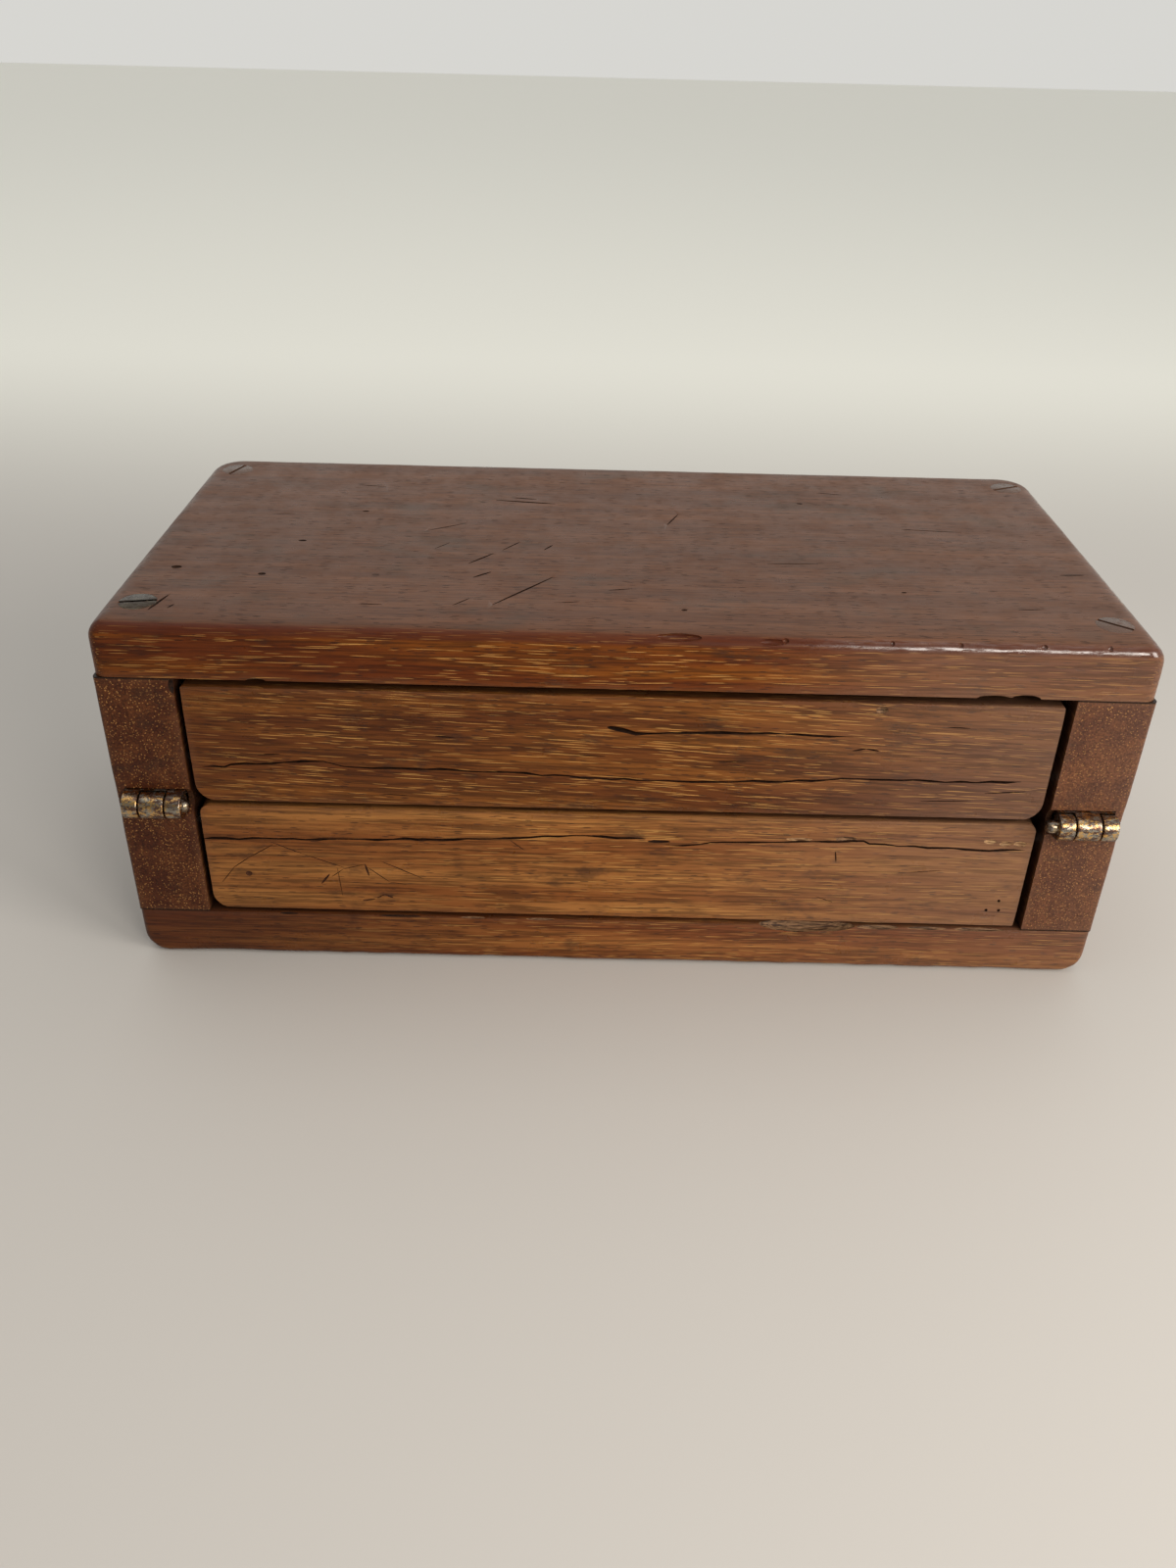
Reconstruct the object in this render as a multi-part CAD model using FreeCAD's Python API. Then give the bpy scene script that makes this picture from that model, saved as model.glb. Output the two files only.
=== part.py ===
import FreeCAD, Part
import math
import os

# Folding hardwood case in two equal halves on a pair of brass butt hinges.
# Each half is a board screwed to two end blocks, with a swing block between them
# that turns up on a rod. Millimetres, +Z up, +X to the right, hinges on the -Y side,
# origin at the centre of the underside.

# Case
case_length = 254.0
case_depth = 124.0
board_thickness = 14.3
end_block_width = 19.0

# Rounded and worn corners of the case
back_corner_radius = 10.0
front_corner_radius = 2.0
top_long_edge_radius = 3.5
top_end_edge_radius = 5.0
bottom_long_edge_radius = 1.5
bottom_end_edge_radius = 6.0
meeting_edge_radius = 2.5

# Swing blocks
swing_thickness = 32.5
swing_left_gap = 1.5
swing_right_gap = 2.3
swing_back_recess = 0.5
swing_front_edge_radius = 1.5
swing_edge_radius = 0.8
lower_gap_at_mid = 0.9
upper_gap_at_mid = 0.3
lower_swing_clearance = 0.5
upper_swing_clearance = 1.1
finger_notch_radius = 12.0
# corner radii seen from the front: left bottom, right bottom, right top, left top
lower_swing_corners = (4.5, 0.6, 2.5, 2.5)
upper_swing_corners = (5.0, 5.0, 0.6, 0.6)

# Pivot rods of the swing blocks
rod_radius = 1.6
rod_setback = 7.5
rod_margin = 0.1
rod_socket_depth = 8.0
rod_end_clearance = 0.2
rod_running_clearance = 0.08

# Pick wells in the two boards
well_count = 3
well_depth = 5.0
well_land = 9.0
well_front_margin = 20.0
well_back_margin = 20.0
well_corner_radius = 6.0

# Butt hinges
knuckle_radius = 3.4
pin_radius = 1.7
pin_running_clearance = 0.06
pin_head_reach = 1.5
pin_proud_reach = 2.8
axis_stand_off = 2.0
outer_knuckle_length = 3.9
knuckle_gap = 0.4
knuckle_swing_clearance = 0.3
knuckle_relief = 0.8
hinge_inner_margin = 1.5
hinge_outer_margin = 2.8
plate_thickness = 1.5
plate_reach = 10.0
plate_fit = 0.1

# Screws through the boards
board_screw_head_radius = 4.65
board_screw_shank_radius = 2.25
board_screw_length = 32.0
board_screw_setback = 12.5
board_slot_width = 1.2
board_slot_depth = 1.3
board_screw_slot_angles = (35.0, -28.0, 70.0, 12.0)

# Screws of the hinge plates
hinge_screw_head_radius = 1.9
hinge_screw_shank_radius = 1.1
hinge_screw_length = 5.0
hinge_screw_reach = 6.3
hinge_screw_spacing = 7.4
hinge_slot_width = 0.6
hinge_slot_depth = 0.5
hinge_screw_slot_angles = (20.0, 65.0)

LOWER, UPPER = -1, 1
LEFT, RIGHT = -1, 1
HALF_NAMES = {LOWER: "lower", UPPER: "upper"}
SIDE_NAMES = {LEFT: "left", RIGHT: "right"}
# half that carries the two outer knuckles and the pin of each hinge
OUTER_KNUCKLE_HALF = {LEFT: UPPER, RIGHT: LOWER}
PIN_HEAD_REACH = {LEFT: pin_head_reach, RIGHT: pin_proud_reach}
GAP_AT_MID = {LOWER: lower_gap_at_mid, UPPER: upper_gap_at_mid}
SWING_CLEARANCE = {LOWER: lower_swing_clearance, UPPER: upper_swing_clearance}
SWING_CORNERS = {LOWER: lower_swing_corners, UPPER: upper_swing_corners}

X_AXIS = FreeCAD.Vector(1, 0, 0)
Y_AXIS = FreeCAD.Vector(0, 1, 0)
Z_AXIS = FreeCAD.Vector(0, 0, 1)
CUT_OVERRUN = 1.0

half_length = case_length / 2
front_y = -case_depth / 2
back_y = case_depth / 2
inner_half_width = half_length - end_block_width
axis_y = front_y - axis_stand_off
rod_y = front_y + rod_setback
# a rod this far from the mid plane keeps the two swing blocks apart all the way round
rod_from_mid = axis_stand_off + rod_setback - rod_margin
hinge_inner_x = inner_half_width + hinge_inner_margin
hinge_outer_x = half_length - hinge_outer_margin
hinge_middle_x = (hinge_inner_x + hinge_outer_x) / 2


def swing_reach(half):
    """How far the rounded front edge of a swing block passes its own outer face as it turns."""
    below_rod = swing_thickness - (rod_from_mid - GAP_AT_MID[half])
    ahead = rod_setback - swing_front_edge_radius
    down = below_rod - swing_front_edge_radius
    return math.hypot(ahead, down) + swing_front_edge_radius - below_rod


def chamber_height(half):
    """Height of one half between its board and the mid plane."""
    return GAP_AT_MID[half] + swing_thickness + swing_reach(half) + SWING_CLEARANCE[half]


mid_z = board_thickness + chamber_height(LOWER)
case_height = mid_z + chamber_height(UPPER) + board_thickness


def span(sign, near, far):
    """A low-to-high pair of two distances from zero on one side of it."""
    return tuple(sorted((sign * near, sign * far)))


def z_span(half, near, far):
    """A low-to-high pair of two distances from the mid plane into one half."""
    low, high = span(half, near, far)
    return mid_z + low, mid_z + high


def outline(u_range, v_range, radii):
    """Rectangle in the XY plane with its own radius at each corner, counter-clockwise."""
    (u0, u1), (v0, v1) = u_range, v_range
    corners = ((u0, v0, 1, 1), (u1, v0, -1, 1), (u1, v1, -1, -1), (u0, v1, 1, -1))
    starts, arcs, ends = [], [], []
    for index, (u, v, du, dv) in enumerate(corners):
        r = radii[index]
        along_u = FreeCAD.Vector(u + du * r, v, 0)
        along_v = FreeCAD.Vector(u, v + dv * r, 0)
        bow = r * (1 - math.sqrt(0.5))
        middle = FreeCAD.Vector(u + du * bow, v + dv * bow, 0)
        first, last = (along_v, along_u) if index % 2 == 0 else (along_u, along_v)
        starts.append(first)
        ends.append(last)
        arcs.append(Part.Arc(first, middle, last).toShape() if r > 0 else None)
    edges = []
    for index in range(4):
        if arcs[index] is not None:
            edges.append(arcs[index])
        edges.append(Part.makeLine(ends[index], starts[(index + 1) % 4]))
    return Part.Face(Part.Wire(edges))


def prism_z(x_range, y_range, z_range, radii=(0, 0, 0, 0)):
    """Upright prism from its plan."""
    face = outline(x_range, y_range, radii)
    face.translate(Z_AXIS * z_range[0])
    return face.extrude(Z_AXIS * (z_range[1] - z_range[0]))


def prism_y(x_range, z_range, y_range, radii):
    """Prism along Y from its front view."""
    face = outline(x_range, z_range, radii)
    face.rotate(FreeCAD.Vector(), X_AXIS, 90)
    face.translate(Y_AXIS * y_range[0])
    return face.extrude(Y_AXIS * (y_range[1] - y_range[0]))


def prism_x(y_range, z_range, x_range, radii):
    """Prism along X from its end view."""
    face = outline(y_range, z_range, radii)
    face.rotate(FreeCAD.Vector(), FreeCAD.Vector(1, 1, 1), 120)
    face.translate(X_AXIS * x_range[0])
    return face.extrude(X_AXIS * (x_range[1] - x_range[0]))


def rod_along_x(radius, x_range, y, z):
    """Round bar or bore along X."""
    start = FreeCAD.Vector(x_range[0], y, z)
    return Part.makeCylinder(radius, x_range[1] - x_range[0], start, X_AXIS)


def screw_body(head_radius, shank_radius, length):
    """Countersunk screw hanging from its flat head at the origin, without its slot."""
    neck_z = shank_radius - head_radius
    tip_z = shank_radius - length
    points = [(0, 0), (head_radius, 0), (shank_radius, neck_z), (shank_radius, tip_z), (0, -length)]
    corners = [FreeCAD.Vector(r, 0, z) for r, z in points]
    face = Part.Face(Part.makePolygon(corners + corners[:1]))
    return face.revolve(FreeCAD.Vector(), Z_AXIS, 360)


def slot_cutter(head_radius, width, depth, angle):
    """Bar that cuts the slot across a screw head at the origin."""
    reach = head_radius + CUT_OVERRUN
    cutter = prism_z((-reach, reach), (-width / 2, width / 2), (-depth, CUT_OVERRUN))
    cutter.rotate(FreeCAD.Vector(), Z_AXIS, angle)
    return cutter


def stand_at(shape, x, y, z, upside_down):
    """Copy of a shape made at the origin, turned over if asked, at its place."""
    placed = shape.copy()
    if upside_down:
        placed.rotate(FreeCAD.Vector(), X_AXIS, 180)
    placed.translate(FreeCAD.Vector(x, y, z))
    return placed


def board_screw_places(half):
    """Where the heads of one board's four screws lie, on its outer face."""
    z = case_height if half == UPPER else 0.0
    x = half_length - end_block_width / 2
    ys = (front_y + board_screw_setback, back_y - board_screw_setback)
    return [(side * x, y, z) for y in ys for side in (LEFT, RIGHT)]


def board_screw_holes(half):
    """Holes that fit the screws of one board."""
    body = screw_body(board_screw_head_radius, board_screw_shank_radius, board_screw_length)
    return [stand_at(body, *place, half == LOWER) for place in board_screw_places(half)]


def board_screws(half):
    """The four slotted screws of one board."""
    body = screw_body(board_screw_head_radius, board_screw_shank_radius, board_screw_length)
    screws = []
    for place, angle in zip(board_screw_places(half), board_screw_slot_angles):
        slot = slot_cutter(board_screw_head_radius, board_slot_width, board_slot_depth, angle)
        screws.append(stand_at(body.cut(slot), *place, half == LOWER))
    return Part.Compound(screws)


def hinge_screw_places(side, half):
    """Where the heads of one hinge plate's two screws lie, on its open face."""
    z = mid_z + half * (knuckle_radius - plate_thickness)
    y = axis_y + hinge_screw_reach
    offsets = (-hinge_screw_spacing / 2, hinge_screw_spacing / 2)
    return [(side * hinge_middle_x + offset, y, z) for offset in offsets]


def hinge_screw_holes(side, half):
    """Holes that fit the screws of one hinge plate."""
    body = screw_body(hinge_screw_head_radius, hinge_screw_shank_radius, hinge_screw_length)
    return [stand_at(body, *place, half == UPPER) for place in hinge_screw_places(side, half)]


def hinge_screws(side, half):
    """The two slotted screws of one hinge plate."""
    body = screw_body(hinge_screw_head_radius, hinge_screw_shank_radius, hinge_screw_length)
    screws = []
    for place, angle in zip(hinge_screw_places(side, half), hinge_screw_slot_angles):
        slot = slot_cutter(hinge_screw_head_radius, hinge_slot_width, hinge_slot_depth, angle)
        screws.append(stand_at(body.cut(slot), *place, half == UPPER))
    return Part.Compound(screws)


def case_plan(z_range):
    """Plan of the whole case as a prism, with its four upright corners rounded."""
    radii = (front_corner_radius, front_corner_radius, back_corner_radius, back_corner_radius)
    return prism_z((-half_length, half_length), (front_y, back_y), z_range, radii)


def well_length():
    """Length of one pick well, from the room between the end blocks and the lands."""
    return (2 * inner_half_width - (well_count + 1) * well_land) / well_count


def pick_wells(half):
    """Shallow round-cornered wells in a board's inner face."""
    face_from_mid = chamber_height(half)
    z_range = z_span(half, face_from_mid - CUT_OVERRUN, face_from_mid + well_depth)
    y_range = (front_y + well_front_margin, back_y - well_back_margin)
    wells = []
    for index in range(well_count):
        x0 = -inner_half_width + well_land + index * (well_length() + well_land)
        wells.append(prism_z((x0, x0 + well_length()), y_range, z_range, (well_corner_radius,) * 4))
    return wells


def board(half):
    """Outer board of one half, rounded on its outside, with wells and screw holes."""
    inner = chamber_height(half)
    z_range = z_span(half, inner, inner + board_thickness)
    if half == UPPER:
        end_radii = (0, 0, top_end_edge_radius, top_end_edge_radius)
        long_radii = (0, 0, top_long_edge_radius, top_long_edge_radius)
    else:
        end_radii = (bottom_end_edge_radius, bottom_end_edge_radius, 0, 0)
        long_radii = (bottom_long_edge_radius, bottom_long_edge_radius, 0, 0)
    front_view = prism_y((-half_length, half_length), z_range, (front_y, back_y), end_radii)
    end_view = prism_x((front_y, back_y), z_range, (-half_length, half_length), long_radii)
    blank = case_plan(z_range).common(front_view).common(end_view)
    return blank.cut(pick_wells(half) + board_screw_holes(half))


def end_block(side, half):
    """End block of one half, cut for its hinge plate, knuckles, screws and pivot rod."""
    x_range = span(side, inner_half_width, half_length)
    z_range = z_span(half, 0, chamber_height(half))
    corner = (side == RIGHT, half == LOWER)
    order = ((False, False), (True, False), (True, True), (False, True))
    radii = [meeting_edge_radius if corner == here else 0 for here in order]
    blank = case_plan(z_range).common(prism_y(x_range, z_range, (front_y, back_y), radii))
    knuckle_x = span(side, inner_half_width - CUT_OVERRUN, hinge_outer_x + knuckle_swing_clearance)
    relief = rod_along_x(knuckle_radius + knuckle_relief, knuckle_x, axis_y, mid_z)
    plate_x = span(side, hinge_inner_x - plate_fit, hinge_outer_x + plate_fit)
    plate_y = (front_y - CUT_OVERRUN, axis_y + plate_reach + plate_fit)
    mortise = prism_z(plate_x, plate_y, z_span(half, -CUT_OVERRUN, knuckle_radius))
    socket_x = span(side, inner_half_width - CUT_OVERRUN, inner_half_width + rod_socket_depth)
    socket = rod_along_x(rod_radius, socket_x, rod_y, mid_z + half * rod_from_mid)
    cuts = [relief, mortise, socket] + board_screw_holes(half) + hinge_screw_holes(side, half)
    return blank.cut(cuts)


def swing_block(half):
    """Thick block between the end blocks, bored for its rod and notched for a finger."""
    x_range = (-inner_half_width + swing_left_gap, inner_half_width - swing_right_gap)
    y_range = (front_y, back_y - swing_back_recess)
    z_range = z_span(half, GAP_AT_MID[half], GAP_AT_MID[half] + swing_thickness)
    front_view = prism_y(x_range, z_range, y_range, SWING_CORNERS[half])
    small = swing_edge_radius
    if half == LOWER:
        end_radii = (swing_front_edge_radius, small, small, small)
    else:
        end_radii = (small, small, small, swing_front_edge_radius)
    blank = front_view.common(prism_x(y_range, z_range, x_range, end_radii))
    bore_x = (x_range[0] - CUT_OVERRUN, x_range[1] + CUT_OVERRUN)
    bore = rod_along_x(rod_radius + rod_running_clearance, bore_x, rod_y, mid_z + half * rod_from_mid)
    foot = FreeCAD.Vector(0, y_range[1], z_range[0] - CUT_OVERRUN)
    notch = Part.makeCylinder(finger_notch_radius, swing_thickness + 2 * CUT_OVERRUN, foot, Z_AXIS)
    return blank.cut([bore, notch])


def pivot_rod(half):
    """Rod that a swing block turns on, held in both end blocks."""
    reach = inner_half_width + rod_socket_depth - rod_end_clearance
    return rod_along_x(rod_radius, (-reach, reach), rod_y, mid_z + half * rod_from_mid)


def knuckle_spans(side):
    """Places along X of a hinge's inner, middle and outer knuckles."""
    inner_end = hinge_inner_x + outer_knuckle_length
    outer_start = hinge_outer_x - outer_knuckle_length
    inner = span(side, hinge_inner_x, inner_end)
    middle = span(side, inner_end + knuckle_gap, outer_start - knuckle_gap)
    outer = span(side, outer_start, hinge_outer_x)
    return inner, middle, outer


def hinge_plate(side, half):
    """One plate of a butt hinge with its own knuckles, cleared for the other plate's."""
    inner, middle, outer = knuckle_spans(side)
    carries_outer = OUTER_KNUCKLE_HALF[side] == half
    own = (inner, outer) if carries_outer else (middle,)
    other = (middle,) if carries_outer else (inner, outer)
    plate_x = span(side, hinge_inner_x, hinge_outer_x)
    plate_z = z_span(half, knuckle_radius - plate_thickness, knuckle_radius)
    plate = prism_z(plate_x, (axis_y, axis_y + plate_reach), plate_z)
    clear_radius = knuckle_radius + knuckle_swing_clearance
    clear = [
        rod_along_x(clear_radius, (x0 - knuckle_gap, x1 + knuckle_gap), axis_y, mid_z)
        for x0, x1 in other
    ]
    knuckles = [rod_along_x(knuckle_radius, place, axis_y, mid_z) for place in own]
    plate = plate.cut(clear).fuse(knuckles).removeSplitter()
    clearance = 0 if carries_outer else pin_running_clearance
    bore_x = (plate_x[0] - CUT_OVERRUN, plate_x[1] + CUT_OVERRUN)
    bore = rod_along_x(pin_radius + clearance, bore_x, axis_y, mid_z)
    return plate.cut([bore] + hinge_screw_holes(side, half))


def hinge_pin(side):
    """Hinge pin with its rounded end standing out on the inner side."""
    tip_x = hinge_inner_x - PIN_HEAD_REACH[side] + pin_radius
    shank = rod_along_x(pin_radius, span(side, tip_x, hinge_outer_x), axis_y, mid_z)
    tip = Part.makeSphere(pin_radius, FreeCAD.Vector(side * tip_x, axis_y, mid_z))
    return shank.fuse(tip).removeSplitter()


def write(name, shape):
    """Save one piece, or one set of like pieces, under its own name."""
    shape.exportStep("parts/" + name + ".step")


os.makedirs("parts", exist_ok=True)
write("bottom_board", board(LOWER))
write("top_board", board(UPPER))
write("bottom_board_screws", board_screws(LOWER))
write("top_board_screws", board_screws(UPPER))
for half in (LOWER, UPPER):
    write(HALF_NAMES[half] + "_swing_block", swing_block(half))
    write(HALF_NAMES[half] + "_pivot_rod", pivot_rod(half))
    for side in (LEFT, RIGHT):
        write(HALF_NAMES[half] + "_" + SIDE_NAMES[side] + "_end_block", end_block(side, half))
        write(SIDE_NAMES[side] + "_hinge_" + HALF_NAMES[half] + "_plate", hinge_plate(side, half))
        write(SIDE_NAMES[side] + "_hinge_" + HALF_NAMES[half] + "_screws", hinge_screws(side, half))
for side in (LEFT, RIGHT):
    write(SIDE_NAMES[side] + "_hinge_pin", hinge_pin(side))
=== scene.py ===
import math
import random
import bmesh
import bpy
from mathutils import Matrix, Vector


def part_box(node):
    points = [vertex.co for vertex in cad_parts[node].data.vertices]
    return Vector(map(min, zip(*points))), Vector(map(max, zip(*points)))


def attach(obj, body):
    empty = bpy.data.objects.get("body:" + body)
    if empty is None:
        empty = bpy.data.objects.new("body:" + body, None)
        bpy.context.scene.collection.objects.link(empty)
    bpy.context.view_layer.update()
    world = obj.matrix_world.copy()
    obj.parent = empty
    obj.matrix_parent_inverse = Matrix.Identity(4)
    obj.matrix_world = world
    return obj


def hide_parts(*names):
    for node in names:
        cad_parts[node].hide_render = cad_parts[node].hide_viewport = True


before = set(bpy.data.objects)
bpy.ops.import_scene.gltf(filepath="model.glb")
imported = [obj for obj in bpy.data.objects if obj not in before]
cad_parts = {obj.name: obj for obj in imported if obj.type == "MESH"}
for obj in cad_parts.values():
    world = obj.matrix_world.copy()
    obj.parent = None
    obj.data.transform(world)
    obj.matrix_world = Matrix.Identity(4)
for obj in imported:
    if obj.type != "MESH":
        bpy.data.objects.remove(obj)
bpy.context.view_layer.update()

# Sizes in metres. Pieces take their places from the frame, and marks have theirs in millimetres.
MM = 0.001
SLIVER = 0.06 * MM
HALVES = ("lower", "upper")
SIDES = {"left": -1, "right": 1}
BOARDS = {"lower": "bottom_board", "upper": "top_board"}
# half whose plate carries the two outer knuckles and the pin of each hinge
OUTER_KNUCKLES = {"left": "upper", "right": "lower"}

# Boards
BACK_CORNER = 10 * MM
# radii of each board's outer edge round the ends and back, and of its front outline
ENDS_ROUNDING = {"upper": 5 * MM, "lower": 6 * MM}
FRONT_ROUNDING = {"upper": 3.3 * MM, "lower": 1.8 * MM}
WELL_LAND = 9 * MM
WELL_COUNT = 3
WELL_DEPTH = 5 * MM
WELL_MARGIN = 20 * MM
WELL_CORNER = 6 * MM
WELL_FLOOR_CORNER = 1.5 * MM

# End blocks
CORNER_WEAR = 2.3 * MM

# Swing blocks
FINGER_NOTCH = 12 * MM
ROD_BORE = 1.68 * MM
# corner radii seen from the front: left bottom, right bottom, right top, left top
SWING_CORNERS = {
    "lower": (4.5 * MM, 0.6 * MM, 2.5 * MM, 2.5 * MM),
    "upper": (5 * MM, 5 * MM, 0.7 * MM, 0.7 * MM),
}
# radius of each block's front edge beside its board, and of its other long edges
OUTER_EDGE = {"lower": 1.4 * MM, "upper": 0.6 * MM}
LONG_EDGE = 0.8 * MM

# Wear: spacing along X, Y and Z of the rings cut into a piece, then depth and lump size of its wear
BOARD_RINGS = (3.2 * MM, 6.2 * MM, 3.6 * MM)
BOARD_WEAR = (0.14 * MM, 18 * MM)
BOARD_EDGE_WEAR = (0.7 * MM, 6 * MM)
END_BLOCK_RINGS = (3 * MM, 6 * MM, 3 * MM)
END_BLOCK_WEAR = (0.16 * MM, 14 * MM)
END_CORNER_WEAR = (0.4 * MM, 12 * MM)
SWING_RINGS = (4 * MM, 8 * MM, 3 * MM)
SWING_WEAR = (0.16 * MM, 22 * MM)
SWING_EDGE_WEAR = (0.3 * MM, 7 * MM)
# how far the wear of an edge reaches into the faces beside it
EDGE_REACH = 9 * MM
SWING_EDGE_REACH = 5 * MM

# Hinges
KNUCKLE = 3.4 * MM
KNUCKLE_RELIEF = 4.2 * MM
KNUCKLE_LENGTH = 3.9 * MM
KNUCKLE_GAP = 0.4 * MM
PLATE = 1.5 * MM
PIN = 1.7 * MM
PIN_CLEARANCE = 0.06 * MM
KNUCKLE_CLEARANCE = 0.3 * MM
KNUCKLE_RIM = 0.32 * MM
HINGE_SCREW_HEAD = 1.9 * MM
HINGE_SCREW_SHANK = 1.1 * MM

# Screws of the boards
SCREW_HEAD = 4.65 * MM
SCREW_SHANK = 2.25 * MM


# ---------------------------------------------------------------- modelling


def deselect():
    bpy.ops.object.select_all(action="DESELECT")


def hold(piece):
    """Make a piece the only one selected."""
    deselect()
    piece.select_set(True)
    bpy.context.view_layer.objects.active = piece


def settle(name=None):
    """Move the active object's place and size into its mesh."""
    piece = bpy.context.active_object
    bpy.ops.object.transform_apply(location=True, rotation=True, scale=True)
    if name:
        piece.name = name
        piece.data.name = name
    return piece


def block(name, low, high):
    """Box that fills two corners."""
    deselect()
    low, high = Vector(low), Vector(high)
    bpy.ops.mesh.primitive_cube_add(size=1, location=(low + high) / 2, scale=high - low)
    return settle(name)


def bar(name, radius, start, end, sides=48):
    """Round bar between two points."""
    deselect()
    start, end = Vector(start), Vector(end)
    turn = (end - start).to_track_quat("Z", "Y").to_euler()
    bpy.ops.mesh.primitive_cylinder_add(
        vertices=sides,
        radius=radius,
        depth=(end - start).length,
        location=(start + end) / 2,
        rotation=turn,
    )
    return settle(name)


def pick_edges(piece, wanted):
    """Go into edit mode with just the edges selected whose two ends pass the test."""
    hold(piece)
    bpy.ops.object.mode_set(mode="EDIT")
    bpy.ops.mesh.select_mode(type="EDGE")
    bpy.ops.mesh.select_all(action="DESELECT")
    mesh = bmesh.from_edit_mesh(piece.data)
    for edge in mesh.edges:
        if wanted(edge.verts[0].co, edge.verts[1].co):
            edge.select_set(True)
    bmesh.update_edit_mesh(piece.data)


def leave():
    bpy.ops.object.mode_set(mode="OBJECT")


def round_edges(piece, wanted, radius, segments=6):
    """Round the edges that pass the test."""
    pick_edges(piece, wanted)
    bpy.ops.mesh.bevel(offset=radius, segments=segments, affect="EDGES")
    leave()


def near(a, b, slack=1e-5):
    return abs(a - b) < slack


def edge_at(axis, places):
    """Test for straight edges along an axis at given places on the other axes."""

    def wanted(a, b):
        if abs((a - b)[axis]) < 1e-6:
            return False
        return all(near(a[other], at) and near(b[other], at) for other, at in places.items())

    return wanted


def modify(piece, kind, **values):
    """Add a modifier, set its values and apply it."""
    hold(piece)
    modifier = piece.modifiers.new(kind, kind)
    for key, value in values.items():
        setattr(modifier, key, value)
    bpy.ops.object.modifier_apply(modifier=modifier.name)


def join(name, pieces):
    """Join pieces into one."""
    deselect()
    for piece in pieces:
        piece.select_set(True)
    bpy.context.view_layer.objects.active = pieces[0]
    if len(pieces) > 1:
        bpy.ops.object.join()
    return settle(name)


def volume(mesh):
    shape = bmesh.new()
    shape.from_mesh(mesh)
    amount = shape.calc_volume(signed=True)
    shape.free()
    return amount


def combine(piece, tools, operation="DIFFERENCE"):
    """Cut a piece with tools, or weld them to it, and throw the tools away."""
    tool = join("tool", tools)
    before = piece.data.copy()
    whole = volume(before)
    values = {"object": tool, "operation": operation, "solver": "EXACT", "material_mode": "TRANSFER"}
    modify(piece, "BOOLEAN", **values)
    if volume(piece.data) < 0.5 * whole:
        # the quick cut lost the piece: cut again, allowing for shapes that cross themselves
        piece.data = before
        modify(piece, "BOOLEAN", use_self=True, **values)
    bpy.data.objects.remove(tool)
    return piece


def apart(one, other):
    """True if two tools' boxes don't meet."""
    (low_a, high_a), (low_b, high_b) = box_of(one), box_of(other)
    return any(high_a[axis] < low_b[axis] or high_b[axis] < low_a[axis] for axis in range(3))


def box_of(piece):
    spots = [point.co for point in piece.data.vertices]
    low = [min(spot[axis] for spot in spots) for axis in range(3)]
    high = [max(spot[axis] for spot in spots) for axis in range(3)]
    return low, high


def carve(piece, tools):
    """Cut a piece with many tools: those that cross each other go into separate cuts."""
    batches = []
    for tool in tools:
        for batch in batches:
            if all(apart(tool, other) for other in batch):
                batch.append(tool)
                break
        else:
            batches.append([tool])
    for batch in batches:
        combine(piece, batch)
    return piece


def slice_all(piece, rings):
    """Cut rings into a piece across X, Y and Z at the given spacings."""
    for axis, spacing in enumerate(rings):
        slice_up(piece, axis, spacing)


def slice_up(piece, axis, spacing):
    """Cut evenly spaced rings into a piece across an axis."""
    low = min(point.co[axis] for point in piece.data.vertices)
    high = max(point.co[axis] for point in piece.data.vertices)
    count = max(1, round((high - low) / spacing))
    normal = [0, 0, 0]
    normal[axis] = 1
    hold(piece)
    bpy.ops.object.mode_set(mode="EDIT")
    for index in range(1, count):
        at = [0, 0, 0]
        at[axis] = low + (high - low) * index / count
        bpy.ops.mesh.select_all(action="SELECT")
        bpy.ops.mesh.bisect(plane_co=at, plane_no=normal)
    bpy.ops.mesh.select_all(action="SELECT")
    bpy.ops.mesh.remove_doubles(threshold=SLIVER)
    leave()


def weather(piece, depth, size, group=""):
    """Wear a surface inwards unevenly."""
    texture = bpy.data.textures.new("wear", "CLOUDS")
    texture.noise_scale = size
    texture.noise_depth = 3
    modify(
        piece, "DISPLACE", texture=texture, texture_coords="LOCAL", strength=depth, mid_level=1,
        vertex_group=group,
    )


def edge_group(piece, name, wanted):
    """Weight every point of a piece by a rule."""
    group = piece.vertex_groups.new(name=name)
    for point in piece.data.vertices:
        weight = wanted(point.co)
        if weight > 0:
            group.add([point.index], min(weight, 1), "REPLACE")
    return name


def smooth(piece, degrees=35):
    hold(piece)
    bpy.ops.object.shade_smooth_by_angle(angle=math.radians(degrees))


def face_out(piece):
    """Turn every face of a closed piece outwards."""
    hold(piece)
    bpy.ops.object.mode_set(mode="EDIT")
    bpy.ops.mesh.select_all(action="SELECT")
    bpy.ops.mesh.remove_doubles(threshold=1e-7)
    bpy.ops.mesh.normals_make_consistent(inside=False)
    leave()


def close_gaps(piece):
    """Fill the small three-sided or four-sided holes that a cut may leave."""
    hold(piece)
    bpy.ops.object.mode_set(mode="EDIT")
    bpy.ops.mesh.select_all(action="SELECT")
    bpy.ops.mesh.fill_holes(sides=4)
    bpy.ops.mesh.select_all(action="SELECT")
    bpy.ops.mesh.normals_make_consistent(inside=False)
    leave()


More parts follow.
